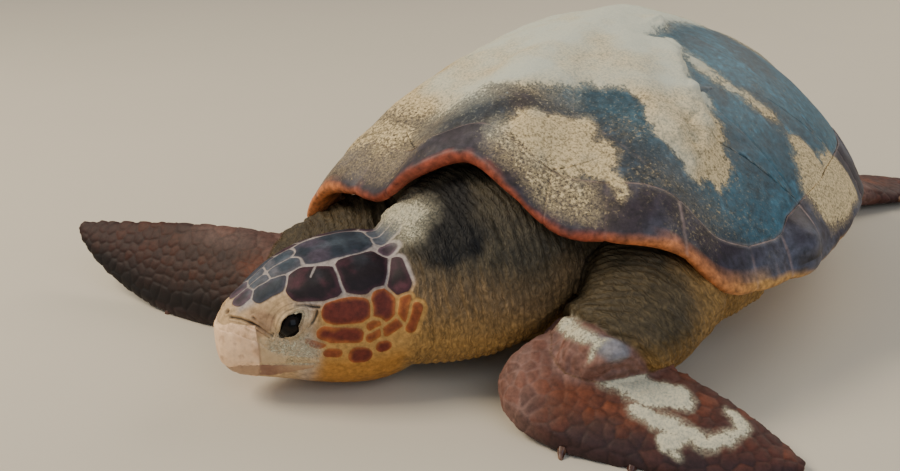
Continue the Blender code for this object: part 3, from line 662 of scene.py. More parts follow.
# ---- form of the shell
@dataclass(frozen=True)
class ShellForm:
    """The carapace as a smooth surface, measured from its own origin on the floor."""

    plastron_front: float = 0.335  # from the origin to the plastron's front end
    apex_y: float = -0.010
    apex_z: float = 0.386
    power: float = 0.82
    keel: float = 0.004
    keel_width: float = 0.030
    thickness: float = 0.008
    margin: tuple = ((0, 0.89), (30, 0.885), (36, 0.895), (42, 0.925), (49, 0.940), (56, 0.942),
                     (59, 0.934), (62, 0.914), (70, 0.90), (90, 0.885),
                     (180, 0.89))  # degrees, share where the marginals begin
    # Right shoulder of the rim: middle and half width in degrees, metres outward and upward.
    corner: tuple = (-42, 10, 0.018, -0.016)
    lip: float = 0.0095
    lip_inset: float = 0.046
    lip_lift: float = 0.016
    nuchal: float = 14.5  # half angle, degrees
    edge: tuple = (  # edge of the left side, front to rear
        (0.000, -0.430, 0.284), (0.072, -0.443, 0.256), (0.132, -0.434, 0.214),
        (0.245, -0.384, 0.200), (0.305, -0.335, 0.140), (0.345, -0.240, 0.126),
        (0.366, -0.120, 0.124), (0.368, 0.000, 0.130), (0.345, 0.150, 0.124),
        (0.284, 0.294, 0.114), (0.170, 0.403, 0.096), (0.060, 0.458, 0.090),
        (0.000, 0.452, 0.094))

    def origin(self) -> Array:
        """Place of the shell's origin, from the plastron's box."""
        low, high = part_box("plastron")
        return np.array([(low.x + high.x) / 2, low.y + self.plastron_front, 0.0])

    def edge_line(self) -> tuple[Array, Array, Array]:
        """Angle, radius and height along the edge, from the front round to the rear.

        Returns:
            The three lists.
        """
        first, last = self.edge[1], self.edge[-2]
        rows = np.array([(-first[0], *first[1:]), *self.edge, (-last[0], *last[1:])])
        place = 1 + (len(rows) - 3) * np.linspace(0, 1, 481)
        i = np.minimum(place.astype(int), len(rows) - 3)
        u = (place - i)[:, None]
        slope_b = (rows[i + 1] - rows[i - 1]) / 2
        slope_c = (rows[i + 2] - rows[i]) / 2
        at = ((2 * u ** 3 - 3 * u ** 2 + 1) * rows[i] + (u ** 3 - 2 * u ** 2 + u) * slope_b
              + (3 * u ** 2 - 2 * u ** 3) * rows[i + 1] + (u ** 3 - u ** 2) * slope_c)
        ahead = at[:, 1] - self.apex_y
        return np.arctan2(np.maximum(at[:, 0], 0), -ahead), np.hypot(at[:, 0], ahead), at[:, 2]

    def edge_at(self, angle: Array) -> tuple[Array, Array]:
        """Radius and height of the edge at angles in radians, 0 at the front.

        Args:
            angle: angles in radians, 0 at the front.

        Returns:
            Radii and heights.
        """
        turn, radius, height = self.edge_line()
        angle = (angle + math.pi) % (2 * math.pi) - math.pi
        middle, width, out, rise = self.corner
        near = bell(np.degrees(angle) - middle, width)
        angle = np.abs(angle)
        return (np.interp(angle, turn, radius) + near * out,
                np.interp(angle, turn, height) + near * rise)

    def margin_at(self, angle: Array) -> Array:
        """Share of the radius at which the marginals begin, at angles in radians."""
        turn, share = np.array(self.margin).T
        return np.interp(np.degrees(np.abs(angle)), turn, share)

    def plan(self, angle: Array, share: Array) -> Array:
        """Plan places at angles and shares of the radius."""
        radius = self.edge_at(angle)[0] * share
        return np.stack([radius * np.sin(angle), self.apex_y - radius * np.cos(angle)], -1)

    def height(self, plan: Array) -> Array:
        """Height of the outer surface over plan places.

        Args:
            plan: places seen from above.

        Returns:
            Heights.
        """
        x, y = plan[..., 0], plan[..., 1] - self.apex_y
        radius, low = self.edge_at(np.arctan2(x, -y))
        share = np.minimum(np.hypot(x, y) / radius, 1.0)
        keel = self.keel * bell(x, self.keel_width) * (1 - share ** 4)
        return low + (self.apex_z - low) * (1 - share ** 2) ** self.power + keel


class ShellTone(Enum):
    """Colours of the carapace."""

    TEAL = "#265769"
    SLATE = "#26343e"
    BROWN = "#30282b"
    PLUM = "#484a57"
    DARK_PLUM = "#261d2a"
    SEAM = "#a98f86"
    RIM_RED = "#984a34"
    RIM_ORANGE = "#d6834c"
    RIM_OCHRE = "#c08f4e"

    @property
    def light(self) -> Array:
        """The colour in linear light."""
        return linear(self.value)


@dataclass
class Carapace:
    """Dome plates: five vertebrals and five pairs of costals, each a plate with a worked face."""

    form: ShellForm
    frame: dict
    spacing: float = 0.0034  # between points round a plate
    groove: float = 0.0007  # depth of the seam
    groove_width: float = 0.0026
    seam_line: float = 0.0011  # half width of the paler line in the seam
    ring_pitch: float = 0.0085  # growth rings
    ring_depth: float = 0.00012
    sand_depth: float = 0.0055
    slope: float = 0.026  # width of the bank at the edge of the sand
    skirt: float = 0.0075  # depth of a plate's side
    closing: float = 0.0016  # each plate grows by this, so that neighbours touch
    seam_gap: float = 0.0004  # between plates and marginals, as a share of the radius
    border: float = 0.878  # share of the radius from which a plate meets the marginals
    ridge: float = 0.013  # height of the drifted crest on the left
    crest: tuple = ((88, -15, 0), (138, -90, 0), (176, -136, 0), (200, -180, 0), (212, -226, 0),
                    (214, -258, 0))
    drifts: tuple[Drift, ...] = (
        Drift(((62, -362, 0), (80, -352, 0), (102, -346, 0)), 36, 1.0, 0.50),
        Drift(((126, -342, 0), (160, -348, 0), (184, -358, 0)), 17, 0.90, 0.6),
        Drift(((42, -392, 0), (90, -396, 0), (128, -394, 0)), 36, 0.56, 0.7),
        Drift(((90, -418, 0), (146, -408, 0)), 26, 0.50, 0.7),
        Drift(((-140, -372, 0), (-215, -340, 0)), 48, 0.62, 0.8),
        Drift(((-20, -200, 0), (-15, 0, 0), (-10, 290, 0)), 112, 1.0, 0.25),
        Drift(((10, -165, 0), (60, -160, 0), (100, -160, 0)), 84, 1.0, 0.30),
        Drift(((110, -150, 0), (160, -190, 0)), 58, 1.0, 0.22),
        Drift(((165, -190, 0), (194, -250, 0), (208, -268, 0)), 36, 1.0, 0.25),
        Drift(((185, -150, 0), (218, -198, 0), (234, -238, 0)), 31, 1.0, 0.35),
        Drift(((205, -258, 0), (236, -246, 0)), 29, 1.0, 0.30),
        Drift(((120, -72, 0), (172, -84, 0), (206, -72, 0), (248, -64, 0)), 19, 0.80, 0.7),
        Drift(((308, -56, 0), (333, -88, 0), (346, -50, 0), (346, 30, 0)), 33, 1.0, 0.45),
        Drift(((40, -296, 0), (70, -288, 0)), 24, 0.20, 0.9),
        Drift(((-120, -392, 0), (-235, -350, 0)), 56, 0.38, 0.7),
        Drift(((-80, -270, 0), (-190, -240, 0)), 92, 0.78, 0.7),
        Drift(((-150, -110, 0), (-200, 60, 0)), 105, 0.90, 0.6),
        Drift(((-130, 150, 0), (-60, 330, 0)), 100, 0.92, 0.6),
        Drift(((120, 210, 0), (70, 350, 0)), 78, 0.80, 0.7),
        Drift(((20, 300, 0), (10, 420, 0)), 60, 0.62, 0.7),
    )

    def build(self, material: Material) -> None:
        """Build every plate of the dome.

        Args:
            material: finish of the plates.
        """
        names = [f"vertebral_scute_{k}" for k in range(1, 6)]
        names += [f"costal_scute_{side}_{k}" for side in ("left", "right") for k in range(1, 6)]
        for number, name in enumerate(names):
            self.plate(name, number, material)

    def outline(self, node: str) -> Array:
        """Plan outline of a plate, read from the edge of its solid's top.

        Args:
            node: name of the solid.

        Returns:
            Corner points in order, from the shell's origin.
        """
        work = bmesh.new()
        work.from_mesh(self.frame["nodes"][node].data)
        bmesh.ops.remove_doubles(work, verts=work.verts, dist=2e-5)
        follow = {}
        for edge in work.edges:
            tops = [f for f in edge.link_faces if f.normal.z > 0.25]
            if len(tops) == 1 and len(edge.link_faces) == 2:
                for loop in tops[0].loops:
                    if loop.edge == edge:
                        follow[loop.vert.index] = loop.link_loop_next.vert.index
        place = {v.index: (v.co.x, v.co.y) for v in work.verts}
        work.free()
        start = here = next(iter(follow))
        out = []
        while here in follow and len(out) < len(follow):
            out.append(place[here])
            here = follow[here]
            if here == start:
                break
        return np.array(out) - self.form.origin()[:2]

    def fit(self, plan: Array) -> Array:
        """Close the gaps between neighbours and lay the outer side along the marginals.

        Args:
            plan: places seen from above.

        Returns:
            The outline, fitted.
        """
        away = plan - plan.mean(axis=0)
        plan = plan + away * (self.closing / np.linalg.norm(away, axis=1))[:, None]
        x, ahead = plan[:, 0], self.form.apex_y - plan[:, 1]
        angle = np.arctan2(x, ahead)
        share = np.hypot(x, ahead) / self.form.edge_at(np.abs(angle))[0]
        outer = self.form.margin_at(angle) - self.seam_gap
        return np.where((share > self.border)[:, None], self.form.plan(angle, outer), plan)

    def resample(self, corners: Array) -> Array:
        """Points at even steps round an outline, keeping its corners.

        Args:
            corners: corner points in order.

        Returns:
            Points in order.
        """
        nxt = np.roll(corners, -1, axis=0)
        lengths = np.linalg.norm(nxt - corners, axis=1)
        out = []
        for here, there, length in zip(corners, nxt, lengths):
            steps = max(1, round(length / self.spacing))
            share = np.arange(steps)[:, None] / steps
            out.append(here + (there - here) * share)
        return np.concatenate(out)

    def sand(self, points: Array) -> tuple[Array, Array]:
        """Cover of sand on the shell, and how far in from the sand's edge.

        Args:
            points: places from the shell's origin.

        Returns:
            Cover, 0 to 1, and metres in from the edge.
        """
        cover, bank = sand_cover(points * (1, 1, 0), self.drifts, 0.016, 0.007)
        film = 0.025 + 0.065 * ease(wander(points, 0.05, 87, 4), -0.4, 0.9)
        film *= 1 - 0.65 * ease(points[:, 1], -0.26, -0.18)
        return np.maximum(cover, film), bank

    def sand_lift(self, points: Array, bank: Array) -> Array:
        """Height of the sand, with the crest where it drifted up.

        Args:
            points: places from the shell's origin.
            bank: metres in from the sand's edge.

        Returns:
            Rise in metres.
        """
        away = to_line(points * (1, 1, 0), np.array(self.crest) * MM)
        lift = self.sand_depth * (0.75 + 0.35 * wander(points, 0.05, 9, 3))
        lift += self.ridge * bell(away, 0.026)
        return lift * ease(bank, 0.0, self.slope)

    def plate(self, name: str, number: int, material: Material) -> None:
        """One plate: a polar net over its outline, a skirt and a plain underside.

        Args:
            name: name of the solid that it stands for.
            number: choice of its grain.
            material: finish.
        """
        rim = self.fit(self.resample(self.outline(name)))
        middle = rim.mean(axis=0)
        count = len(rim)
        reach = np.linalg.norm(rim - middle, axis=1)
        rows = max(12, round(reach.mean() / self.spacing))
        share = np.linspace(1, 0.02, rows)[:, None, None]
        share = 1 - (1 - share) ** 1.12
        plan = (middle + (rim - middle) * share).reshape(-1, 2)
        inward = ((1 - share[:, :, 0]) * reach).ravel()
        inward *= 0.86
        top = self.form.height(plan)
        places = np.column_stack([plan, top])
        sand, bank = self.sand(places)
        relief = -self.groove * bell(inward, self.groove_width) * (1 - sand)
        rings = np.sin(2 * math.pi * inward / self.ring_pitch + 3 * wander(places, 0.05, number, 2))
        relief += self.ring_depth * rings * np.exp(-inward / 0.045) * (1 - sand)
        relief += 0.0006 * wander(places, 0.03, 40, 3)
        relief += self.sand_lift(places, bank)
        normal = self.normal(plan)
        places += normal * relief[:, None]
        tint = self.tint(places, inward, number)
        skirt = places[:count] - (0, 0, self.skirt)
        centre_top = places[-count:].mean(axis=0)
        centre_low = np.array([*middle, centre_top[2] - self.form.thickness])
        everything = np.concatenate([skirt, places, [centre_top], [centre_low]])
        faces = grid_faces(rows + 1, count, True)
        last = len(everything) - 2
        for i in range(count):
            j = (i + 1) % count
            faces.append((rows * count + i, rows * count + j, last))
            faces.append((j, i, last + 1))
        piece = new_piece(name + "_face", everything + self.form.origin(), faces)
        ends = [0, 0]
        keep_values(piece.data, "tint", np.concatenate([tint[:count], tint, tint[ends]]))
        keep_values(piece.data, "sand", np.concatenate([sand[:count] * 0, sand, sand[-1:], [0]]))
        sharpen(piece.data, count)
        finish_piece(piece, material, [name])

    def normal(self, plan: Array) -> Array:
        """Upward normals of the smooth surface.

        Args:
            plan: places seen from above.

        Returns:
            Unit normals.
        """
        step = 0.002
        along_x = self.form.height(plan + (step, 0)) - self.form.height(plan - (step, 0))
        along_y = self.form.height(plan + (0, step)) - self.form.height(plan - (0, step))
        out = np.column_stack([-along_x, -along_y, np.full(len(plan), 2 * step)])
        return out / np.linalg.norm(out, axis=1)[:, None]

    def tint(self, places: Array, inward: Array, number: int) -> Array:
        """Colour of the bare plates: teal on the flanks, browner ahead, pale in the seams.

        Args:
            places: points from the shell's origin.
            inward: distance from the plate's edge.
            number: choice of grain.

        Returns:
            Linear colours.
        """
        flank = ease(places[:, 1], -0.33, -0.24) * 0.75 + 0.25 * ease(places[:, 0], 0.0, 0.2)
        base = mix(ShellTone.BROWN.light, ShellTone.TEAL.light, flank)
        cloud = wander(places, 0.06, 60 + number, 4)
        base = mix(base, ShellTone.SLATE.light, ease(cloud, -0.3, 0.8) * 0.65)
        flake = ease(wander(places, 0.012, 77, 3), 0.55, 0.95)
        base = mix(base, base * 2.4, flake * 0.6)
        line = ease(inward + 0.0005 * wander(places, 0.01, 3, 2), self.seam_line * 1.7,
                    self.seam_line * 0.5)
        return mix(base, ShellTone.SEAM.light, line * 0.20)


@dataclass
class Margin:
    """Nuchal and marginals: a worked run round the edge, with a rolled red lip."""

    form: ShellForm
    carapace: Carapace
    pitch_deg: float = 0.45  # angle between sections
    swell: float = 0.0016  # each marginal bulges a little
    lump_at: float = 64.0  # degrees
    lump_rise: float = 0.0200
    seams: tuple[float, ...] = (24, 36, 49, 58, 68, 80, 93, 107, 121, 135, 149, 164)

    def build(self, material: Material) -> None:
        """Build the nuchal and the two rows.

        Args:
            material: finish.
        """
        edge = self.form.nuchal
        self.run("nuchal_scute", -edge, edge, material)
        self.run("marginal_scutes_left", edge, 180, material)
        self.run("marginal_scutes_right", -edge, -180, material)

    def section(self, angle: Array) -> Array:
        """Profile of the rim at each angle, from the costals over the lip to the underside.

        Args:
            angle: angles in radians.

        Returns:
            Distance outward and height, one row for each angle.
        """
        form = self.form
        radius, low = form.edge_at(angle)
        inner = form.margin_at(angle) + 0.0002
        rows = []
        for step in np.linspace(0, 1, 22):
            share = inner + (0.975 - inner) * step
            rows.append((radius * share, form.height(form.plan(angle, share))))
        for turn in np.radians(np.linspace(48, -88, 16)):
            rows.append((radius - form.lip + form.lip * np.cos(turn),
                         low + form.lip * np.sin(turn)))
        end_r = radius - form.lip_inset
        end_z = low + form.lip_lift
        for share in np.linspace(0.12, 1, 14):
            sag = 0.004 * math.sin(math.pi * share)
            rows.append((radius - form.lip + (end_r - radius + form.lip) * share,
                         low - form.lip * (1 - share) ** 2 + form.lip_lift * share ** 1.4 - sag))
        inner_z = rows[0][1] - form.thickness
        for share in np.linspace(0.25, 1, 5):
            rows.append((end_r + (radius * inner - end_r) * share,
                         end_z + (inner_z - end_z) * share))
        return np.array(rows).transpose(2, 0, 1)

    def seam_distance(self, degrees: Array, radius: Array) -> Array:
        """Distance to the nearest cross seam in metres."""
        seams = np.array([self.form.nuchal, *self.seams, 180])
        return np.radians(np.abs(np.abs(degrees)[:, None] - seams).min(axis=1)) * radius

    def swept(self, angle: Array, r: Array, z: Array) -> Array:
        """Places round the shell from distances outward and heights, a row for each angle."""
        x, y = r * np.sin(angle)[:, None], self.form.apex_y - r * np.cos(angle)[:, None]
        return np.stack([x, y, z], -1).reshape(-1, 3)

    def run(self, name: str, start: float, stop: float, material: Material) -> None:
        """One run of the rim.

        Args:
            name: solid that it stands for.
            start: first angle in degrees.
            stop: last angle in degrees.
            material: finish.
        """
        count = max(8, round(abs(stop - start) / self.pitch_deg))
        degrees = np.linspace(start, stop, count + 1)
        angle = np.radians(degrees)
        table = self.section(angle)
        radius = self.form.edge_at(angle)[0]
        seam = self.seam_distance(degrees, radius)
        steps = np.linalg.norm(np.diff(table, axis=1), axis=2)
        along = np.concatenate([np.zeros((len(table), 1)), np.cumsum(steps, axis=1)], 1)
        lip_at = along[:, 30][:, None]
        from_lip = along - lip_at  # below 0 on top, above 0 underneath
        size = table.shape[1]
        r, z = table[:, :, 0], table[:, :, 1]
        across = np.roll(table, -1, axis=1) - np.roll(table, 1, axis=1)
        across[:, 0] = table[:, 1] - table[:, 0]
        across[:, -1] = table[:, -1] - table[:, -2]
        out_r, out_z = -across[:, :, 1], across[:, :, 0]
        scale = np.maximum(np.hypot(out_r, out_z), 1e-9)
        out_r, out_z = out_r / scale, out_z / scale
        flat_points = self.swept(angle, r, z)
        seam_all = np.repeat(seam, size)
        upper = (from_lip < 0.012).ravel()
        inboard = ease(from_lip.ravel(), -0.004, -0.030)
        sand, bank = (part * inboard for part in self.carapace.sand(flat_points))
        sand -= np.minimum(sand, 0.03)  # fewer stray grains than on the dome
        groove = bell(seam_all, 0.0022) * 0.0013 * upper
        inner = bell(along.ravel(), 0.0030) * 0.0016
        bulge = self.swell * (1 - bell(seam_all, 0.016))
        relief = bulge - (groove + inner) * (1 - ease(sand, 0.3, 0.8))
        relief += 0.0005 * wander(flat_points, 0.02, 12, 3)
        relief *= ease((1 - along / along[:, -1:]).ravel(), 0.0, 0.12)
        relief += self.carapace.sand_lift(flat_points, bank)
        lump = np.repeat(self.lump(degrees), size)
        over = np.sin(math.pi * np.clip(along / (lip_at + 0.012), 0, 1)).ravel() ** 1.3
        relief += lump * over
        relief = relief.reshape(table.shape[:2])
        places = self.swept(angle, r + out_r * relief, z + out_z * relief)
        faces = grid_faces(len(angle), size, True)
        ends = [list(range(size)), list(range(len(places) - size, len(places)))]
        piece = new_piece(name + "_face", places + self.form.origin(), faces + ends)
        keep_values(piece.data, "tint", self.tint(places, from_lip.ravel(), seam_all,
                                                  along.ravel(), np.repeat(degrees, size)))
        keep_values(piece.data, "sand", sand)
        finish_piece(piece, material, [name])

    def lump(self, degrees: Array) -> Array:
        """Rounded swelling over the flank, steep ahead and long behind."""
        past = np.abs(degrees) - self.lump_at
        return self.lump_rise * bell(past, np.where(past < 0, 4.2, 5.6))

    def tint(self, places: Array, from_lip: Array, seam: Array, along: Array,
             degrees: Array) -> Array:
        """Plum on top, red to ochre along the lip and below, pale in the seams.

        Args:
            places: points from the shell's origin.
            from_lip: way along the profile from the lip, below 0 on top.
            seam: distance to the nearest cross seam.
            along: way along the profile from the costals.
            degrees: angle round the shell.

        Returns:
            Linear colours.
        """
        cloud = wander(places, 0.045, 21, 4)
        base = mix(ShellTone.PLUM.light, ShellTone.DARK_PLUM.light, ease(cloud, -0.6, 0.7))
        base = mix(base, ShellTone.BROWN.light * 1.25, ease(np.abs(degrees), 40, 22) * 0.75)
        turn = np.abs(degrees)
        band = mix(ShellTone.RIM_RED.light, ShellTone.RIM_ORANGE.light, ease(turn, 20, 34))
        band = mix(band, ShellTone.RIM_OCHRE.light, ease(turn, 38, 52))
        band = mix(band, band * 0.60, ease(wander(places, 0.030, 23, 4), -0.2, 0.9) * 0.75)
        band = mix(band, ShellTone.BROWN.light, ease(wander(places, 0.012, 27, 3), 0.3, 1.0)
                   * 0.35)
        width = 0.012 + 0.008 * bell(turn - 44, 12) - 0.007 * ease(turn, 56, 66)
        level = from_lip + 0.004 * wander(places, 0.03, 25, 3)
        base = mix(base, band, ease(level, -width, -width + 0.011))
        pale = ShellTone.SEAM.light
        line = ease(seam + 0.0004 * wander(places, 0.01, 4, 2), 0.0013, 0.0005)
        line *= ease(turn, 28, 36) * 0.75 + 0.15
        base = mix(base, pale, line * 0.7 * ease(level, 0.004, -0.004))
        return mix(base, pale, ease(along, 0.0018, 0.0006) * 0.7)


# ---- head
def mirrored(local: Array) -> Array:
    """Places of the head with those of the right side laid over the left."""
    return np.column_stack([local[:, 0], np.abs(local[:, 1]), local[:, 2]])


@dataclass(frozen=True)
class HeadPlace:
    """The head's own axes, found from the two eyes: back from the snout, left and up."""

    eye_back: float = 0.078
    eye_up: float = 0.050
    pitch: float = 1.5  # degrees
    crown_low: float = 0.030  # height about which turns round the head are measured

    def axes(self) -> tuple[Array, Array]:
        """Origin and axes.

        Returns:
            Origin, and a matrix whose rows point back, left and up.
        """
        middles = []
        for name in ("eye_left", "eye_right"):
            low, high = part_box(name)
            middles.append(np.array((low + high) / 2))
        left = middles[0] - middles[1]
        left /= np.linalg.norm(left)
        level = np.cross((0, 0, 1), left)
        level /= np.linalg.norm(level)
        rise = np.cross(left, level)
        turn = math.radians(self.pitch)
        back = level * math.cos(turn) + rise * math.sin(turn)
        up = np.cross(left, back)
        origin = (middles[0] + middles[1]) / 2 - back * self.eye_back - up * self.eye_up
        return origin, np.array([back, left, up])

    def local(self, points: Array) -> Array:
        """Places as (back, left, up) from the snout."""
        origin, axes = self.axes()
        return (points - origin) @ axes.T

    def world(self, local: Array) -> Array:
        """Places in the frame of the part."""
        origin, axes = self.axes()
        return origin + local @ axes

    def gaze(self, side: int) -> Array:
        """Way that the left eye, 1, or the right one, -1, looks out of the head.

        Args:
            side: 1 for the left eye, -1 for the right.

        Returns:
            Unit vector.
        """
        back, left, up = self.axes()[1]
        out = left * side * 0.90 + up * 0.36 - back * 0.16
        return out / np.linalg.norm(out)

    def turn(self, local: Array) -> Array:
        """Degrees round the head from the crown, the same on both sides."""
        return np.degrees(np.arctan2(np.abs(local[:, 1]), local[:, 2] - self.crown_low))


class ScuteTone(Enum):
    """Colours of the head's scutes: middle, edge and clouds."""

    BLUE_BLACK = ("#222a34", "#3b3a44", "#4a3f4c")
    AUBERGINE = ("#1b1015", "#3a1f28", "#4f2731")
    SLATE = ("#2f3944", "#4a4a52", "#605a60")
    PURPLE = ("#33262f", "#5a4550", "#6f5a60")
    RED_BROWN = ("#65291e", "#a05a2c", "#7a3322")
    ORANGE = ("#7a3a20", "#a2602c", "#8c4a26")

    @property
    def lights(self) -> Array:
        """Its three colours in linear light, one row each."""
        return np.array([linear(code) for code in self.value])


def horn_tint(local: Array) -> Array:
    """Peach horn of the beak, clouded tan."""
    return mix(linear("#f8cfa6"), linear("#e2b78f"), ease(wander(local, 0.02, 93, 3), -0.4, 0.8))


@dataclass(frozen=True)
class HeadScute:
    """A scute of the head: a line from one place to another, each (mm back, degrees round)."""

    name: str
    start: tuple[float, float]
    end: tuple[float, float]
    reach: float  # mm from the line; neighbours meet where both reach equally
    spread: float  # mm that it may grow past its reach where it has room
    gap: float  # mm of pale skin left on its side of a border
    tone: ScuteTone


HEAD_SCUTES = (
    HeadScute("internasal", (28, 14), (37, 12), 8, 3, 1.2, ScuteTone.PURPLE),
    HeadScute("middle_prefrontal", (50, 7), (58, 8), 7, 3, 1.1, ScuteTone.SLATE),
    HeadScute("front_prefrontal", (52, 24), (70, 26), 11, 4, 1.2, ScuteTone.BLUE_BLACK),
    HeadScute("rear_prefrontal", (77, 8), (102, 8), 11, 4, 1.1, ScuteTone.SLATE),
    HeadScute("frontoparietal", (128, 0), (168, 0), 31, 3, 1.2, ScuteTone.BLUE_BLACK),
    HeadScute("supraocular", (99, 36), (121, 41), 21, 4, 1.3, ScuteTone.AUBERGINE),
    HeadScute("temporal", (160, 40), (178, 38), 25, 5, 1.3, ScuteTone.AUBERGINE),
    HeadScute("parietal", (209, 8), (226, 6), 11, 3, 1.4, ScuteTone.SLATE),
    HeadScute("outer_parietal", (206, 24), (220, 26), 9, 3, 1.4, ScuteTone.PURPLE),
    HeadScute("nape", (208, 42), (205, 55), 13, 3, 1.4, ScuteTone.AUBERGINE),
    HeadScute("upper_postocular", (124, 66), (152, 67), 13, 4, 2.0, ScuteTone.RED_BROWN),
    HeadScute("rear_postocular", (182, 63), (180, 72), 12, 4, 2.0, ScuteTone.RED_BROWN),
    HeadScute("upper_tympanic", (207, 66), (200, 77), 6, 3, 1.8, ScuteTone.ORANGE),
    HeadScute("rear_tympanic", (216, 72), (209, 84), 6, 3, 2.0, ScuteTone.ORANGE),
    HeadScute("lower_postocular", (110, 82), (144, 85), 9, 3, 2.0, ScuteTone.RED_BROWN),
    HeadScute("tympanic_1", (162, 80), (172, 78), 5, 2, 1.7, ScuteTone.ORANGE),
    HeadScute("tympanic_2", (160, 88), (171, 86), 5, 2, 1.7, ScuteTone.ORANGE),
    HeadScute("tympanic_3", (181, 86), (194, 80), 6, 2, 1.7, ScuteTone.ORANGE),
    HeadScute("round_cheek", (145, 102), (151, 102), 13, 1, 3.0, ScuteTone.RED_BROWN),
    HeadScute("small_cheek", (174, 97), (178, 97), 9, 1, 2.6, ScuteTone.RED_BROWN),
    HeadScute("rear_cheek", (178, 109), (184, 108), 7, 1, 2.6, ScuteTone.ORANGE),
    HeadScute("jaw_corner", (112, 99), (120, 99), 8, 1, 2.6, ScuteTone.ORANGE),
    HeadScute("behind_eye", (92, 90), (106, 91), 4, 2, 1.6, ScuteTone.ORANGE),
)


# ---- hide
class Part(Enum):
    """Regions of the hide and the solids under them."""

    HEAD = ("head", "beak_upper", "beak_lower")
    NECK = ("neck",)
    TRUNK = ("trunk",)
    ARM = ("upper_arm_left", "upper_arm_right")
    FLIPPER_LEFT = ("flipper_left",)
    FLIPPER_RIGHT = ("flipper_right",)
    THIGH = ("thigh_left", "thigh_right")
    FOOT = ("foot_left", "foot_right")
    TAIL = ("tail",)


class HideTone(Enum):
    """Colours of the hide."""

    NECK_TOP = "#474031"
    NECK_SIDE = "#7a6345"
    OCHRE = "#a47e46"
    OLIVE = "#4b402c"
    THROAT = "#ad7936"
    BLACK = "#0e0d0c"
    FACE = "#c0a078"
    HEAD_SKIN = "#a29791"
    GOLD = "#b68b4d"
    SCALE_BROWN = "#4e3127"
    SCALE_ORANGE = "#874320"
    SCALE_PLUM = "#312022"
    SCALE_PINK = "#87665c"
    SCALE_MAROON = "#47231d"
    ELBOW = "#7a5a50"
    BLUISH = "#80838a"
    BELLY = "#b79b64"

    @property
    def light(self) -> Array:
        """The colour in linear light."""
        return linear(self.value)


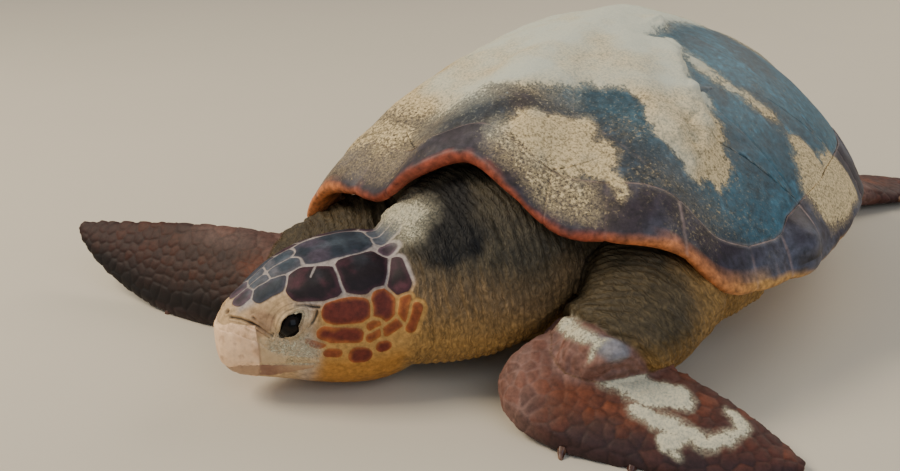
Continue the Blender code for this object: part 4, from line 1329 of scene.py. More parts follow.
@dataclass
class Hide:
    """One skin over head, neck, trunk, limbs and tail, with scutes, scales, creases and lids."""

    form: ShellForm
    frame: dict
    voxel: float = 0.0042
    rounds: int = 14
    eye_radius: float = 0.0185
    hole: float = 0.0132  # radius at which the hide meets the eyeball
    lid: float = 0.0024  # thickness of the lids over the eyeball
    lid_reach: float = 0.034
    lid_fold: float = 0.0062  # between the wrinkles round the eye
    opening: tuple[float, float] = (0.0172, 0.0068)
    slant: float = 40.0  # degrees, the opening rises toward the back
    scute_rise: float = 0.0011
    scale_rise: float = 0.0008
    right_drop: float = 0.011
    seed: int = 11
    head_length: float = 0.236
    face_length: float = 0.112
    block_half: float = 0.135  # half width of the block that holds the head
    drifts: tuple[Drift, ...] = (
        Drift(((-125, -428, 188), (-83, -451, 205), (-45, -466, 210)), 30, 0.66, 0.9),
        Drift(((-40, -484, 197), (-62, -470, 204)), 24, 0.60, 0.9),
        Drift(((142, -452, 106), (182, -482, 118), (211, -492, 116)), 10, 0.70, 0.8),
        Drift(((211, -492, 116), (208, -508, 92)), 8, 0.70, 0.8),
        Drift(((234, -489, 74), (262, -482, 62), (294, -468, 57)), 21, 1.0, 0.45),
        Drift(((268, -506, 48), (297, -505, 39), (335, -498, 32), (358, -482, 31)), 13, 0.90, 0.9),
        Drift(((358, -482, 31), (364, -462, 37), (349, -451, 44)), 9, 0.80, 0.9),
        Drift(((318, -502, 36), (304, -521, 30)), 12, 0.9, 0.6),
        Drift(((301, -521, 30), (317, -524, 22)), 8, 0.6, 0.8),
    )
    elbow: tuple = ((112, -412, 91), (0.287, 0.737, 0.612))  # mm and normal: scales lie below it
    knob: tuple = (0.226, -0.492, 0.110)
    cleft: tuple = ((123, 20), (108, 33))  # pale split in the scute over the eye, mm and degrees
    face_folds: tuple = (  # places in mm from the snout, width and depth in metres
        (((14, 19, 57), (24, 29, 57), (33, 38, 54), (41, 44, 50), (48, 49, 44), (54, 54, 39)),
         0.0014, 0.0024),
        (((37, 37, 60), (43, 43, 54), (49, 48, 48), (55, 54, 42)), 0.0012, 0.0018),
        (((29, 36, 50), (38, 43, 46), (45, 48, 41), (50, 52, 37)), 0.0011, 0.0016),
        (((84, 61, 77), (96, 68, 75), (108, 73, 74)), 0.0016, 0.0018),
        (((105, 74, 70), (101, 76, 60), (95, 75, 50)), 0.0014, 0.0016),
    )
    head_place: HeadPlace = HeadPlace()

    def build(self, material: Material) -> Object:
        """Build the hide.

        Args:
            material: its finish.

        Returns:
            The finished piece.
        """
        nodes = [node for part in Part for node in part.value]
        piece = merged_copy("hide", nodes, self.frame)
        remesh(piece, self.voxel)
        self.drop_bubbles(piece)
        points = relax(points_of(piece.data), edges_of(piece.data), self.rounds, 0.5, 0.515)
        place_points(piece.data, points)
        self.refine(piece)
        self.unwrap(piece)
        self.shape(piece)
        flesh = [n for n in nodes if not n.startswith("beak")]
        return finish_piece(piece, material, flesh)

    def drop_bubbles(self, piece: Object) -> None:
        """Keep only the largest closed surface of a wrapped mesh.

        Args:
            piece: the wrapped hide.
        """
        work = bmesh.new()
        work.from_mesh(piece.data)
        seen = set()
        groups = []
        for start in work.verts:
            if start.index in seen:
                continue
            group = [start]
            seen.add(start.index)
            for vert in group:
                for edge in vert.link_edges:
                    other = edge.other_vert(vert)
                    if other.index not in seen:
                        seen.add(other.index)
                        group.append(other)
            groups.append(group)
        groups.sort(key=len)
        for group in groups[:-1]:
            bmesh.ops.delete(work, geom=group, context="VERTS")
        work.to_mesh(piece.data)
        work.free()

    def regions(self, points: Array) -> Array:
        """Number of the nearest region for each point.

        Args:
            points: places, one row each.

        Returns:
            Numbers in the order of Part.
        """
        corners = []
        faces = []
        owner = []
        for number, part in enumerate(Part):
            for node in part.value:
                mesh = self.frame["nodes"][node].data
                start = len(corners)
                corners += [v.co.copy() for v in mesh.vertices]
                faces += [[i + start for i in f.vertices] for f in mesh.polygons]
                owner += [number] * len(mesh.polygons)
        tree = BVHTree.FromPolygons(corners, faces)
        return np.array([owner[tree.find_nearest(p)[2]] for p in points.tolist()])

    def refine(self, piece: Object) -> None:
        """Divide the faces that show, the head's twice and the face's three times.

        Args:
            piece: the hide.
        """
        for level in range(3):
            points = points_of(piece.data)
            local = self.head_place.local(points)
            chosen = self.in_block(local, self.face_length if level == 2 else self.head_length)
            if level == 0:
                chosen |= self.showing(points)
            work = bmesh.new()
            work.from_mesh(piece.data)
            work.verts.ensure_lookup_table()
            edges = [e for e in work.edges
                     if chosen[e.verts[0].index] and chosen[e.verts[1].index]]
            bmesh.ops.subdivide_edges(work, edges=edges, cuts=1, use_grid_fill=True)
            work.to_mesh(piece.data)
            work.free()
        points = relax(points_of(piece.data), edges_of(piece.data), 4, 0.5, 0.51)
        place_points(piece.data, points)

    def in_block(self, local: Array, length: float, height: float = 0.16) -> Array:
        """Whether points lie in a block of this length and height that holds the head."""
        return ((local[:, 0] < length) & (local[:, 2] < height)
                & (np.abs(local[:, 1]) < self.block_half))

    def showing(self, points: Array) -> Array:
        """Whether a point of the hide can be seen from outside the shell.

        Args:
            points: places, one row each.

        Returns:
            True where it shows.
        """
        own = points - self.form.origin()
        x, y = own[:, 0], own[:, 1] - self.form.apex_y
        radius = self.form.edge_at(np.arctan2(x, -y))[0]
        return (np.hypot(x, y) > radius * 0.86) | ((own[:, 1] < -0.30) & (own[:, 2] < 0.27))

    def unwrap(self, piece: Object) -> None:
        """Flatten the hide, giving the head and the parts that show most of the room.

        Args:
            piece: the hide.
        """
        mesh = piece.data
        mesh.uv_layers.new(name="OFBake")
        points = points_of(mesh)
        local = self.head_place.local(points)
        head = self.in_block(local, self.head_length)
        kind = np.where(head, 0, np.where(self.showing(points), 1, 2))
        face_kind = np.array([kind[list(f.vertices)].max() for f in mesh.polygons])
        rooms = ((0.0, 0.0, 0.49, 0.99), (0.5, 0.0, 0.49, 0.80), (0.5, 0.81, 0.49, 0.18))
        bpy.context.view_layer.objects.active = piece
        bpy.ops.object.select_all(action="DESELECT")
        piece.select_set(True)
        for number, (left, low, wide, tall) in enumerate(rooms):
            mesh.polygons.foreach_set("select", face_kind == number)
            bpy.ops.object.mode_set(mode="EDIT")
            bpy.ops.uv.smart_project(angle_limit=math.radians(70), island_margin=0.002)
            bpy.ops.object.mode_set(mode="OBJECT")
            layer = mesh.uv_layers["OFBake"]
            uv = rows_of(layer.uv, "vector", 2, np.float32)
            totals = rows_of(mesh.polygons, "loop_total", 1, np.int32)
            here = np.repeat(face_kind == number, totals[:, 0])
            uv[here] = uv[here] * (wide, tall) + (left, low)
            layer.uv.foreach_set("vector", uv.ravel())

    # ---- shaping
    def shape(self, piece: Object) -> None:
        """Raise scutes, scales, creases and lids, and colour the hide.

        Args:
            piece: the hide.
        """
        mesh = piece.data
        edges = edges_of(mesh)
        points = points_of(mesh)
        region = self.regions(points)
        parts = list(Part)
        weights = relax(np.eye(len(parts))[region], edges, 8)
        weight = {part: weights[:, k] for k, part in enumerate(parts)}
        own = points - self.form.origin()
        far = (weight[Part.ARM] + weight[Part.FLIPPER_RIGHT]) * ease(own[:, 2], 0.05, 0.14)
        far *= ease(own[:, 0], -0.13, -0.21) * ease(own[:, 0], -0.42, -0.28)
        points[:, 2] -= self.right_drop * far  # the right arm lies low behind the head
        own = points - self.form.origin()
        local = self.head_place.local(points)
        head = weight[Part.HEAD]
        tint = self.ground_tint(own, weight)
        lift = np.zeros(len(points))
        rise, scute_tint, shown = self.scutes(points, local)
        shown = shown * (1 - ease(weight[Part.ARM], 0.1, 0.5))
        lift += rise * shown
        run, creased = self.creases(own, weight)
        creased = creased * (1 - shown)
        folds = np.sin(2 * math.pi * run / 0.0085 + 2.6 * wander(own, 0.045, 31, 3))
        deep = np.sin(2 * math.pi * run / 0.027 + 3.0 * wander(own, 0.09, 32, 2))
        lift += creased * (0.0008 * folds + 0.0022 * deep * ease(wander(own, 0.1, 33, 2), -0.3, 0.5))
        scaly = weight[Part.FLIPPER_LEFT] + weight[Part.FLIPPER_RIGHT] + weight[Part.FOOT]
        scaly = ease(scaly, 0.15, 0.75)
        spot, normal = np.array(self.elbow[0]) * MM, np.array(self.elbow[1])
        beyond = (own - spot) @ normal + 0.003 * wander(own, 0.03, 35, 2)
        upper_arm = ease(weight[Part.ARM], 0.3, 0.7) * (own[:, 0] > 0.05)
        bend = upper_arm * ease(beyond, 0.003, -0.005)
        scaly = np.maximum(scaly, bend)
        lift += upper_arm * (0.0040 * bell(beyond - 0.014, 0.009)
                             - 0.0045 * bell(beyond, 0.0045))
        knob = np.linalg.norm((own - self.knob) / (1.5, 0.9, 1.0), axis=1)
        lift += 0.0045 * ease(knob, 0.019, 0.006)
        rise, scale_tint = self.scales(own, points, region, scaly)
        scale_tint = mix(scale_tint, HideTone.BLUISH.light, ease(knob, 0.020, 0.010) * 0.8)
        creased = creased * (1 - 0.85 * scaly)
        lift += rise * scaly
        tint = mix(tint, scale_tint, scaly)
        tint = mix(tint, scute_tint, shown)
        lift, tint = self.face(local, lift, tint)
        sand, bank = sand_cover(own, self.drifts, 0.006, 0.0045)
        sand *= 1 - ease(head, 0.4, 0.9)
        up = normals_of(mesh)
        sand *= ease(up[:, 2], -0.1, 0.4)
        face_sand = self.face_sand(local)
        lift += 0.0030 * ease(bank, 0.0, 0.008) * sand * (0.7 + 0.4 * wander(own, 0.02, 9, 3))
        lift *= ease(own[:, 2], 0.0015, 0.006)
        points = points + up * lift[:, None]
        for side in (1, -1):
            points, tint = self.lids(points, tint, side)
        points[:, 2] = np.maximum(points[:, 2], 0.0)
        place_points(mesh, points)
        keep_values(mesh, "tint", tint)
        keep_values(mesh, "sand", np.maximum(sand, face_sand))
        keep_values(mesh, "run", run)
        keep_values(mesh, "creased", creased)

    def ground_tint(self, own: Array, weight: dict) -> Array:
        """Colour of the soft skin by height and region.

        Args:
            own: places from the shell's origin.
            weight: how far each point belongs to each region.

        Returns:
            Linear colours.
        """
        z = own[:, 2] + 0.012 * wander(own, 0.06, 41, 3)
        neck = mix(HideTone.OCHRE.light, HideTone.NECK_SIDE.light, ease(z, 0.075, 0.135))
        neck = mix(neck, HideTone.NECK_TOP.light, ease(z, 0.13, 0.19))
        shaded = ease(own[:, 0], -0.12, -0.17) * 0.045  # the right arm is dark further down
        arm = mix(HideTone.OCHRE.light, HideTone.OLIVE.light, ease(z + shaded, 0.055, 0.125))
        outer = own[:, 0] * 0.85 + own[:, 1] * 0.53 + 0.018 * wander(own, 0.05, 43, 3)
        golden = ease(outer, 0.0, 0.075) * ease(own[:, 0], 0.10, 0.20) * ease(own[:, 1], 0.1, -0.1)
        arm = mix(arm, HideTone.OCHRE.light, golden * 0.75)
        share = np.clip(weight[Part.ARM] + weight[Part.THIGH] + weight[Part.TRUNK], 0, 1)
        tint = mix(neck, arm, share)
        # Painted shade: the neck goes black just under the front of the shell.
        patch = to_segment(own, np.array([-0.020, -0.454, 0.225]), np.array([0.010, -0.482, 0.200]))
        dark = ease(patch + 0.010 * wander(own, 0.03, 42, 4), 0.054, 0.026)
        tint = mix(tint, HideTone.BLACK.light, dark)
        under = ease(own[:, 2], 0.05, 0.015)
        return mix(tint, HideTone.BELLY.light, under * 0.6)

    def creases(self, own: Array, weight: dict) -> tuple[Array, Array]:
        """Way along the neck and upper limbs, and how strongly they crease.

        Args:
            own: places from the shell's origin.
            weight: how far each point belongs to each region.

        Returns:
            Metres along, and strength from 0 to 1.
        """
        centre = np.array([-0.100, -0.545, 0.110])
        elbow = np.stack([np.where(own[:, 0] > 0.05, 0.222, -0.29),
                          np.where(own[:, 0] > 0.05, -0.478, -0.43),
                          np.full(len(own), 0.070)], 1)
        hip = np.stack([np.sign(own[:, 0]) * 0.26, np.full(len(own), 0.43),
                        np.full(len(own), 0.03)], 1)
        from_head = np.linalg.norm(own - centre, axis=1)
        from_elbow = np.linalg.norm(own - elbow, axis=1)
        from_hip = np.linalg.norm(own - hip, axis=1)
        arm = ease(weight[Part.ARM], 0.2, 0.8)
        rear = ease(own[:, 1], 0.05, 0.10)
        run = from_head * (1 - arm) + from_elbow * arm
        run = run * (1 - rear) + from_hip * rear
        soft = (weight[Part.NECK] + weight[Part.ARM] + weight[Part.TRUNK] + weight[Part.THIGH]
                + weight[Part.TAIL])
        return run, np.clip(soft, 0, 1)

    def blade(self, points: Array) -> tuple[Array, Array]:
        """Where points lie on one flipper.

        Args:
            points: all its points.

        Returns:
            Share from the shoulder, 0, to the tip, 1; share from the rear edge, -1, to the
            leading edge, 1.
        """
        middle = points.mean(0)
        _, _, axes = np.linalg.svd(points[::7] - middle, full_matrices=False)
        out = axes[0] * np.sign(axes[0][0] * middle[0])
        fore = axes[1] * -np.sign(axes[1][1])
        along = (points - middle) @ out
        across = (points - middle) @ fore
        along = (along - along.min()) / np.ptp(along)
        slot = np.clip((along * 24).astype(int), 0, 23)
        low = np.zeros(24)
        high = np.ones(24)
        for k in np.unique(slot):
            low[k], high[k] = across[slot == k].min(), across[slot == k].max()
        low, high = np.interp(along * 24 - 0.5, range(24), low), np.interp(along * 24 - 0.5,
                                                                          range(24), high)
        return along, (across - low) / np.maximum(high - low, 1e-4) * 2 - 1

    def scales(self, own: Array, points: Array, region: Array,
               scaly: Array) -> tuple[Array, Array]:
        """Mosaic of scales on flippers and feet: larger along both edges of the blade.

        Args:
            own: points from the shell's origin.
            points: points in the frame of the part.
            region: number of each point's region.
            scaly: how far each point is scaly.

        Returns:
            Rise of each point and its colour.
        """
        along = np.zeros(len(points))
        fore = np.zeros(len(points))
        for number, part in enumerate(Part):
            if part in (Part.FLIPPER_LEFT, Part.FLIPPER_RIGHT, Part.FOOT):
                for side in (1, -1):
                    here = (region == number) & (own[:, 0] * side > 0)
                    if here.any():
                        along[here], fore[here] = self.blade(points[here])
        rear = ease(fore, -0.40, -0.75)
        lead = ease(fore, 0.42, 0.75)
        spacing = 0.0122 + 0.0150 * rear * (1 - 0.6 * ease(along, 0.45, 0.7)) + 0.0065 * lead
        chosen = np.nonzero(scaly > 0.01)[0]
        border, owner, count = self.mosaic(points, chosen, spacing)
        pick = np.random.default_rng(self.seed + 1).random((count, 3))[owner]
        warm = ease(wander(own, 0.07, 61, 3), -0.3, 0.7) * ease(along, 0.75, 0.3)
        tint = mix(HideTone.SCALE_BROWN.light, HideTone.SCALE_ORANGE.light, warm * 0.75)
        tint = mix(tint, HideTone.SCALE_MAROON.light, ease(along, 0.40, 0.80) * 0.8)
        tint = mix(tint, HideTone.SCALE_PLUM.light, ease(fore, 0.25, 0.80) * 0.85)
        pale = ease(fore, -0.35, -0.75) * ease(along, 0.62, 0.40)
        tint = mix(tint, HideTone.SCALE_PINK.light, pale * 0.8)
        near = ease(along, 0.26, 0.06)
        tint = mix(tint, HideTone.ELBOW.light, near * 0.75)
        tint = mix(tint, HideTone.SCALE_ORANGE.light, pick[:, 0] ** 3 * 0.26)
        tint = mix(tint, HideTone.SCALE_PLUM.light, pick[:, 1] ** 3 * 0.30)
        tint = tint * (0.90 + 0.20 * pick[:, 2:3])
        # Painted shade and its own darker hide: the right flipper, behind the head, is darkened, most
        # toward its leading edge.
        far = (own[:, 0] < -0.05) & (own[:, 1] < 0)
        tint = tint * (1 - far * (0.50 + 0.38 * ease(fore, -0.2, 0.7)))[:, None]
        # Painted shade: the scales turn plum where they come down to the floor.
        under = ease(own[:, 2], 0.022, 0.004)
        tint = mix(tint, HideTone.SCALE_PLUM.light, under * 0.6)
        joint = ease(border, 0.0019, 0.0004)
        groove = tint * 0.55 * (1 - near[:, None]) + HideTone.SCALE_PINK.light * near[:, None]
        tint = tint + (groove - tint) * (joint * (0.50 + 0.20 * lead))[:, None]
        rise = self.scale_rise * (ease(border, 0.0002, 0.0026) - 0.6)
        rise += 0.0005 * ease(border, 0.0, 0.009)
        return rise * (1 - 0.4 * near), tint

    def mosaic(self, points: Array, chosen: Array, spacing: Array) -> tuple[Array, Array, int]:
        """Cells of uneven size over some of the points.

        Args:
            points: places of all points.
            chosen: numbers of the points that get cells.
            spacing: distance wanted between neighbouring cells at each point.

        Returns:
            Distance of each point from its cell's border, number of its cell, count of cells.
        """
        rng = np.random.default_rng(self.seed)
        seeds = []
        sizes = []
        taken = {}
        for index in rng.permutation(chosen)[:70000]:
            spot = points[index]
            key = tuple((spot // 0.027).astype(int))
            near = [k for a in (-1, 0, 1) for b in (-1, 0, 1) for c in (-1, 0, 1)
                    for k in taken.get((key[0] + a, key[1] + b, key[2] + c), ())]
            gap = spacing[index]
            if near:
                away = np.linalg.norm(np.array([seeds[k] for k in near]) - spot, axis=1)
                if (away < (np.array([sizes[k] for k in near]) + gap) / 2).any():
                    continue
            taken.setdefault(key, []).append(len(seeds))
            seeds.append(spot)
            sizes.append(gap)
        tree = KDTree(len(seeds))
        for k, spot in enumerate(seeds):
            tree.insert(spot, k)
        tree.balance()
        border = np.full(len(points), 0.01)
        owner = np.zeros(len(points), int)
        warp = np.stack([wander(points[chosen], 0.012, 50 + k, 2) for k in range(3)], 1)
        for index, spot in zip(chosen.tolist(), points[chosen] + 0.0012 * warp):
            first, second = tree.find_n(spot, 2)
            border[index] = (second[2] - first[2]) / 2
            owner[index] = first[1]
        return border, owner, len(seeds)

    def scutes(self, points: Array, local: Array) -> tuple[Array, Array, Array]:
        """Scutes of the head.

        Args:
            points: points in the frame of the part.
            local: the same in the head's own axes.

        Returns:
            Rise, colour, and how far the head's markings cover each point.
        """
        near = np.nonzero(self.in_block(local, 0.25, 0.19))[0]
        folded = mirrored(local[near])
        turn = self.head_place.turn(local[near])
        back = folded[:, 0] / MM
        warp = np.stack([wander(folded, 0.03, 70 + k, 3) for k in range(3)], 1) * 0.0016
        stray = 4 * np.maximum(folded[:, 1] / MM - 110, 0)  # keeps the anchors off the arm
        distances = []
        for scute in HEAD_SCUTES:
            ends = []
            for spot in (scute.start, scute.end):
                miss = (back - spot[0]) ** 2 + ((turn - spot[1]) * 1.5) ** 2 + stray
                ends.append(folded[np.argmin(miss)])
            away = to_segment(folded + warp, ends[0], ends[1]) / MM
            distances.append(away - scute.reach)
        table = np.array(distances)
        order = np.argsort(table, axis=0)
        first = order[0]
        d1 = np.take_along_axis(table, order[:1], 0)[0]
        d2 = np.take_along_axis(table, order[1:2], 0)[0]
        gap = np.array([s.gap for s in HEAD_SCUTES])[first]
        spread = np.array([s.spread for s in HEAD_SCUTES])[first]
        paired = np.array([s.start[1] > 0 for s in HEAD_SCUTES])[first]
        inside = np.minimum((d2 - d1) / 2, spread - d1)
        inside = np.where(paired, np.minimum(inside, folded[:, 1] / MM), inside)
        plate = ease(inside, gap * 0.62, gap * 0.62 + 1.0)
        side = ease(turn, 50, 66) * ease(folded[:, 0], 0.080, 0.115)
        pale = mix(HideTone.HEAD_SKIN.light, HideTone.GOLD.light, side)
        throat = ease(turn, 96, 112) * ease(folded[:, 0], 0.085, 0.115)
        pale = mix(pale, HideTone.THROAT.light, throat)
        front = ease(folded[:, 0], 0.104, 0.070) * ease(turn, 26, 42)
        front = np.maximum(front, ease(folded[:, 0], 0.030, 0.018))
        pale = mix(pale, HideTone.FACE.light, front)
        tones = np.array([s.tone.lights for s in HEAD_SCUTES])[first]
        depth = ease(inside + 2.5 * wander(folded, 0.018, 75, 3), 1.0, 7.5)
        dark = mix(tones[:, 1], tones[:, 0], depth)
        cloud = ease(wander(folded, 0.028, 78, 4), 0.0, 0.9) * depth
        dark = mix(dark, tones[:, 2], cloud * 0.8)
        # Painted reflection: a bluish sheen of the sky over the dark scutes of the crown.
        sky_reflection = ease(turn, 46, 14) * ease(wander(folded, 0.030, 76, 4), -0.2, 0.9)
        dark = mix(dark, linear("#5b6770"), sky_reflection * 0.34)
        tint = mix(pale, dark, plate)
        round_head = np.column_stack([back, turn * 1.15])
        ends = [np.array((at[0], at[1] * 1.15)) for at in self.cleft]
        split = ease(to_segment(round_head, *ends) + 0.4 * wander(folded, 0.01, 82, 2), 1.7, 0.7)
        over_eye = [s.name for s in HEAD_SCUTES].index("supraocular")
        tint = mix(tint, pale, split * 0.85 * (first == over_eye))
        rise = self.scute_rise * (plate - 0.35) + 0.0004 * ease(inside, 1.5, 9)
        full_rise = np.zeros(len(points))
        full_tint = np.zeros((len(points), 3))
        shown = np.zeros(len(points))
        full_rise[near] = rise
        full_tint[near] = tint
        limit = local[near, 0] + 0.003 * wander(folded, 0.02, 79, 2)
        rear = 0.216 - 0.008 * ease(turn, 60, 110)
        skin = ease(limit, rear + 0.008, rear - 0.014)
        ring = ease(inside, -5.0, -1.0) * ease(limit, 0.242, 0.234)
        shown[near] = np.maximum(skin, ring)
        return full_rise, full_tint, shown

    def face(self, local: Array, lift: Array, tint: Array) -> tuple[Array, Array]:
        """Nostrils, the horn's upper border, and the dark folds behind beak and eye.

        Args:
            local: places in the head's own axes.
            lift: rise of each point so far.
            tint: colour of each point so far.

        Returns:
            Rise and colour with the face drawn in.
        """
        folded = mirrored(local)
        blush = np.linalg.norm(folded - np.array([42, 43, 56]) * MM, axis=1)
        tint = mix(tint, linear("#84604a"),
                   ease(blush + 0.006 * wander(folded, 0.012, 83, 3), 0.024, 0.008) * 0.55)
        for line, width, depth in self.face_folds:
            away = to_line(folded, np.array(line) * MM)
            near = away < 0.02
            away = away[near] + 0.0004 * wander(folded[near], 0.008, 84, 2)
            lift[near] -= depth * bell(away, width)
            lift[near] += depth * 0.35 * bell(away - 2.4 * width, width)
            shade = bell(away, width)
            tint[near] = mix(tint[near], tint[near] * 0.10, shade * 0.95)
        top = (46 + 5 * ease(folded[:, 0], 0.002, 0.014)) * MM
        sheath = ease(folded[:, 0], 0.0374, 0.0364) * ease(folded[:, 2], top + 0.0004, top - 0.0004)
        sheath *= (folded[:, 1] < 0.075) & (folded[:, 2] > -0.06)
        lift += 0.0007 * sheath
        tint = mix(tint, horn_tint(local), sheath)
        nostril = np.linalg.norm(folded - np.array([13, 9, 60]) * MM, axis=1)
        lift -= 0.0045 * bell(nostril, 0.0026)
        lift += 0.0010 * bell(nostril - 0.005, 0.0018)
        # Painted shade: the nostril's pit is drawn black.
        tint = mix(tint, HideTone.BLACK.light, bell(nostril, 0.0026) * 0.9)
        return lift, tint

    def face_sand(self, local: Array) -> Array:
        """Damp sand caked thinly on the snout, round the eyes and on the cheek.

        Args:
            local: places in the head's own axes.

        Returns:
            Cover, 0 to 1.
        """
        folded = mirrored(local)
        cheek = to_segment(folded, np.array([0.044, 0.046, 0.020]), np.array([0.086, 0.071, 0.014]))
        eye = np.linalg.norm(folded - np.array([0.080, 0.066, 0.050]), axis=1)
        out = ease(cheek, 0.032, 0.010) * 0.50
        out = np.maximum(out, ease(eye, 0.032, 0.018) * 0.42)
        fold = np.linalg.norm(folded - np.array([46, 47, 48]) * MM, axis=1)
        out = out * ease(fold, 0.008, 0.018) * ease(folded[:, 0], 0.037, 0.041)
        return out * ease(wander(folded, 0.020, 81, 3), -0.9, 0.3)

    def lids(self, points: Array, tint: Array, side: int) -> tuple[Array, Array]:
        """Draw the hide together over one eye into an almond between two thick lids.

        Args:
            points: points in the frame of the part.
            tint: their colours.
            side: 1 for the left eye, -1 for the right.

        Returns:
            New points and colours.
        """
        back, _, up = self.head_place.axes()[1]
        low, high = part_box("eye_left" if side > 0 else "eye_right")
        centre = np.array((low + high) / 2)
        out = self.head_place.gaze(side)
        rear = back - out * (back @ out)
        rear /= np.linalg.norm(rear)
        over = up - out * (up @ out) - rear * (up @ rear)
        over /= np.linalg.norm(over)
        away = points - centre
        height = away @ out
        flat_x, flat_y = away @ rear, away @ over
        radius = np.hypot(flat_x, flat_y)
        near = (radius < self.lid_reach) & (height > -0.006) & (np.abs(away @ out) < 0.05)
        index = np.nonzero(near)[0]
        angle = np.arctan2(flat_y[index], flat_x[index])
        r = radius[index]
        h = height[index]
        turned = angle - math.radians(self.slant)
        a, b = self.opening
        almond = (np.abs(np.cos(turned) / a) ** 1.7 + np.abs(np.sin(turned) / b) ** 1.7) ** (-1 / 1.7)
        outside = r >= self.hole
        stretched = almond + (r - self.hole) * (self.lid_reach - almond) / (self.lid_reach
                                                                           - self.hole)
        shrunk = r * almond / self.hole
        new_r = np.where(outside, stretched, shrunk)
        ball = np.sqrt(np.maximum(self.eye_radius ** 2 - new_r ** 2, 0))
        from_edge = new_r - almond
        lid_ball = np.sqrt(np.maximum((self.eye_radius + self.lid) ** 2 - new_r ** 2, 0))
        waves = np.cos(2 * math.pi * from_edge / self.lid_fold)
        fold = waves * np.exp(-from_edge / 0.014)
        lid_ball += 0.0016 * fold * ease(from_edge, 0.0, 0.001)
        blend = ease(new_r, 0.0205, 0.0150)
        lid_height = np.maximum(h, lid_ball * blend + h * (1 - blend))
        lid_height += 0.0016 * bell(from_edge, 0.0022)
        new_h = np.where(outside, lid_height, np.minimum(h, ball - 0.0030))
        moved = (centre + out * new_h[:, None]
                 + rear * (new_r * np.cos(angle))[:, None] + over * (new_r * np.sin(angle))[:, None])
        points = points.copy()
        points[index] = moved
        tint = tint.copy()
        margin = bell(from_edge - 0.0005, 0.0012) * 0.9
        crease = ease(-waves, 0.30, 1.0)
        crease *= np.exp(-from_edge / 0.013) * (0.55 + 0.60 * ease(np.sin(angle), -0.3, 0.7))
        shade = np.clip(np.where(outside, np.maximum(margin, crease), 1.0), 0, 1)
        lids_on = ease(new_r, 0.0230, 0.0190)
        tint[index] = mix(tint[index], HideTone.FACE.light * 0.85, lids_on * 0.8)
        tint[index] = mix(tint[index], HideTone.BLACK.light, shade * 0.85)
        return points, tint


# ---- beak, eyes, claws, plastron
@dataclass
class Beak:
    """Horn sheaths of the two jaws."""

    frame: dict
    head_place: HeadPlace = HeadPlace()
    voxel: float = 0.0016
    proud: float = 0.0010

    def build(self, material: Material) -> None:
        """Build both sheaths.

        Args:
            material: finish.
        """
        for name in ("beak_upper", "beak_lower"):
            piece, points = wrapped(name + "_sheath", name, self.frame, self.voxel, 26)
            mesh = piece.data
            local = self.head_place.local(points)
            step = self.proud * (0.2 + 0.8 * ease(local[:, 0], 0.0385, 0.0360))
            step -= 0.0008 * bell(local[:, 0] - 0.0380, 0.0010)
            points += normals_of(mesh) * step[:, None]
            growth = np.sin(2 * math.pi * local[:, 0] / 0.0075 + 3 * wander(local, 0.03, 90, 2))
            points += normals_of(mesh) * (0.00018 * growth + 0.0004 * wander(local, 0.012, 91, 3))[
                :, None]
            place_points(mesh, points)
            keep_values(mesh, "tint", self.tint(local, name == "beak_lower"))
            keep_values(mesh, "sand", self.sand(local))
            finish_piece(piece, material, [name])

    def tint(self, local: Array, lower: bool) -> Array:
        """Peach horn, browner toward the jaw's corner.

        Args:
            local: places in the head's own axes.
            lower: whether this is the lower jaw.

        Returns:
            Linear colours.
        """
        base = horn_tint(local)
        # Painted shade: the lower sheath, under the upper one, is darkened all over and most at its
        # rear.
        if lower:
            base = base * 0.2 + linear("#9a7555") * 0.8
        rear = ease(local[:, 0], 0.0365, 0.0385)
        back_tone = linear("#8a5f48" if lower else "#c4a67f")
        base = mix(base, back_tone, rear)
        fade = ease(local[:, 0] + 0.006 * wander(local, 0.012, 96, 3), 0.045, 0.085)
        base = mix(base, HideTone.FACE.light, fade * 0.6)
        line = bell(local[:, 0] - 0.0378, 0.0009) * (0.2 if lower else 0.6)
        blot = ease(wander(local, 0.009, 94, 3), 0.35, 0.9) * 0.35
        return mix(base, linear("#7d5743"), np.maximum(blot, line))

    def sand(self, local: Array) -> Array:
        """Sand caked along the cheek side of the sheath."""
        rear = ease(local[:, 0], 0.038, 0.048) * ease(local[:, 2], -0.008, 0.002)
        return rear * ease(wander(local, 0.020, 95, 3), -0.7, 0.5) * 0.46


@dataclass
class Eyes:
    """Eyeballs with a clear bulge, a brown iris and a black pupil."""

    head_place: HeadPlace = HeadPlace()
    radius: float = 0.0181
    rings: int = 48
    spokes: int = 64

    def build(self, material: Material) -> None:
        """Build both eyes.

        Args:
            material: finish.
        """
        up = self.head_place.axes()[1][2]
        for side, name in ((1, "eye_left"), (-1, "eye_right")):
            low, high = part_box(name)
            centre = np.array((low + high) / 2)
            out = self.head_place.gaze(side)
            rear = np.cross(out, up)
            rear /= np.linalg.norm(rear)
            over = np.cross(rear, out)
            polar = np.linspace(0.01, math.pi - 0.01, self.rings)
            turn = np.linspace(0, 2 * math.pi, self.spokes, endpoint=False)
            bulge = self.radius * (1 + 0.035 * bell(polar, 0.55))
            ring = (bulge * np.sin(polar))[:, None, None]
            places = (centre + out * (bulge * np.cos(polar))[:, None, None]
                      + ring * (rear * np.cos(turn)[None, :, None]
                                + over * np.sin(turn)[None, :, None]))
            places = places.reshape(-1, 3)
            faces = grid_faces(self.rings, self.spokes, True)
            faces.append(list(range(self.spokes)))
            faces.append(list(range(len(places) - self.spokes, len(places))))
            piece = new_piece(name + "_ball", places, faces)
            angle = np.repeat(polar, self.spokes)
            iris = ease(angle, 0.62, 0.40) * ease(angle, 0.20, 0.30)
            tint = mix(linear("#0d0a09"), linear("#170f0b"), iris)
            pupil = ease(angle, 0.28, 0.22)
            tint = mix(tint, linear("#050505"), pupil)
            keep_values(piece.data, "tint", tint)
            finish_piece(piece, material, [name])


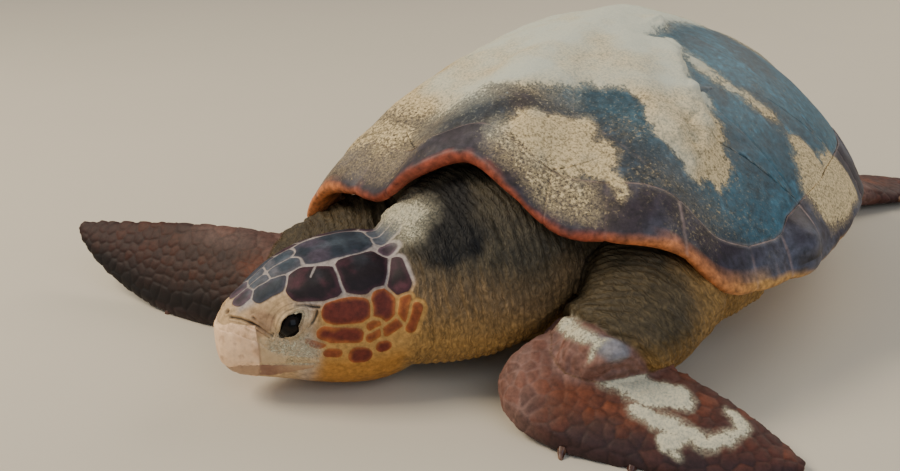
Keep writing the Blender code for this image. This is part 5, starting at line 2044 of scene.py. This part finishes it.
@dataclass
class Claws:
    """Two claws on the leading edge of each limb."""

    frame: dict
    voxel: float = 0.0009

    def build(self, material: Material) -> None:
        """Build the claws, rounder than their solids and ridged.

        Args:
            material: finish.
        """
        for name in sorted(n for n in self.frame["nodes"] if n.startswith("claw_")):
            piece, points = wrapped(name + "_horn", name, self.frame, self.voxel, 12)
            mesh = piece.data
            points += normals_of(mesh) * (0.0004 + 0.0002 * wander(points, 0.004, 97, 2))[:, None]
            points[:, 2] = np.maximum(points[:, 2], 0.0)
            place_points(mesh, points)
            base = mix(linear("#45271f"), linear("#7b5840"),
                       ease(wander(points, 0.012, 98, 3), -0.5, 0.8))
            keep_values(mesh, "tint", base)
            finish_piece(piece, material, [name])


@dataclass
class Plastron:
    """Lower shell: horn plates with a seam down the middle and cross seams."""

    form: ShellForm
    frame: dict
    voxel: float = 0.0032
    cross: tuple[float, ...] = (-0.285, -0.195, -0.075, 0.070, 0.190, 0.275)
    depth: float = 0.0012

    def build(self, material: Material) -> None:
        """Build the plastron.

        Args:
            material: finish.
        """
        piece, points = wrapped("plastron_face", "plastron", self.frame, self.voxel, 8)
        mesh = piece.data
        own = points - self.form.origin()
        seam = np.abs(own[:, 0] + 0.003 * wander(own, 0.08, 101, 2))
        bend = 0.016 * (own[:, 0] / 0.2) ** 2 + 0.004 * wander(own, 0.09, 102, 2)
        for y in self.cross:
            seam = np.minimum(seam, np.abs(own[:, 1] - y - bend))
        cut = bell(seam, 0.0035)
        points += normals_of(mesh) * (0.0004 * wander(own, 0.03, 103, 3) - self.depth * cut)[:, None]
        points[:, 2] = np.maximum(points[:, 2], 0.0)
        flat = own[:, 2] < 0.0012
        points[flat & (cut < 0.3), 2] = 0.0
        points[:, 2] = np.where(flat, points[:, 2] + self.depth * cut, points[:, 2])
        place_points(mesh, points)
        base = mix(linear("#c29a55"), linear("#9a7440"),
                   ease(wander(own, 0.07, 104, 4), -0.4, 0.8))
        base = mix(base, linear("#5c4128"), ease(seam, 0.0028, 0.0008) * 0.75)
        keep_values(mesh, "tint", base)
        keep_values(mesh, "sand", 0.25 * ease(wander(own, 0.05, 105, 3), 0.1, 0.9))
        finish_piece(piece, material, ["plastron"])


# ---- studio
@dataclass
class Studio:
    """Plain pale floor, soft lights and the camera."""

    position: tuple[float, float, float] = (0.7943, -1.4943, 0.6816)
    right: tuple[float, float, float] = (0.8483, 0.5289, -0.0233)
    up: tuple[float, float, float] = (-0.1720, 0.3170, 0.9327)
    lens_mm: float = 44.98
    sensor_mm: float = 36.0
    floor_size: float = 14.0

    def build(self, material: Material) -> None:
        """Make the floor, the lights and the camera.

        Args:
            material: finish of the floor.
        """
        half = self.floor_size / 2
        mesh = bpy.data.meshes.new("studio_floor")
        mesh.from_pydata([(-half, -half, 0), (half, -half, 0), (half, half, 0), (-half, half, 0)],
                         [], [(0, 1, 2, 3)])
        floor = bpy.data.objects.new("studio_floor", mesh)
        bpy.context.scene.collection.objects.link(floor)
        mesh.materials.append(material)
        self.light("key", (-2.6, -1.9, 3.2), 1.8, 172, "#fff0d8")
        self.light("fill", (2.9, -2.2, 2.2), 3.0, 48, "#e2ecff")
        self.light("rear", (1.2, 3.2, 2.8), 2.4, 70, "#fff1dc")
        world = bpy.data.worlds.new("soft_room")
        world.use_nodes = True
        sky = world.node_tree.nodes["Background"]
        sky.inputs["Color"].default_value = (*linear("#d9dee2"), 1)
        sky.inputs["Strength"].default_value = 0.48
        bpy.context.scene.world = world
        self.camera()

    def light(self, name: str, place: tuple, size: float, power: float, colour: str) -> None:
        """Add one soft square light that faces the turtle.

        Args:
            name: name of the light.
            place: where it stands.
            size: side of the square.
            power: watts.
            colour: its colour.
        """
        lamp = bpy.data.lights.new(name, "AREA")
        lamp.size = size
        lamp.energy = power
        lamp.color = linear(colour)
        holder = bpy.data.objects.new(name, lamp)
        holder.location = place
        aim = Vector((0, 0, 0.15)) - Vector(place)
        holder.rotation_euler = aim.to_track_quat("-Z", "Y").to_euler()
        bpy.context.scene.collection.objects.link(holder)

    def camera(self) -> None:
        """Add the camera at the viewing angle."""
        lens = bpy.data.cameras.new("camera")
        lens.lens = self.lens_mm
        lens.sensor_width = self.sensor_mm
        lens.clip_start = 0.05
        holder = bpy.data.objects.new("camera", lens)
        right = Vector(self.right).normalized()
        back = right.cross(Vector(self.up)).normalized()
        up = back.cross(right)
        holder.matrix_world = Matrix((
            (right.x, up.x, back.x, self.position[0]), (right.y, up.y, back.y, self.position[1]),
            (right.z, up.z, back.z, self.position[2]), (0, 0, 0, 1)))
        bpy.context.scene.collection.objects.link(holder)
        bpy.context.scene.camera = holder


def main() -> None:
    """Build the turtle in order and note the size of what is shown."""
    logging.basicConfig(level=logging.INFO, format="%(message)s")
    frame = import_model()
    form = ShellForm()
    carapace = Carapace(form, frame)
    scute = SCUTE.build()
    carapace.build(scute)
    Margin(form, carapace).build(scute)
    Plastron(form, frame).build(PLASTRON_HORN.build())
    Hide(form, frame).build(HIDE.build())
    Beak(frame).build(BEAK_HORN.build())
    Eyes().build(EYE_WET.build())
    Claws(frame).build(CLAW_HORN.build())
    Studio().build(FLOOR_PAINT.build())


if __name__ == "__main__":
    main()
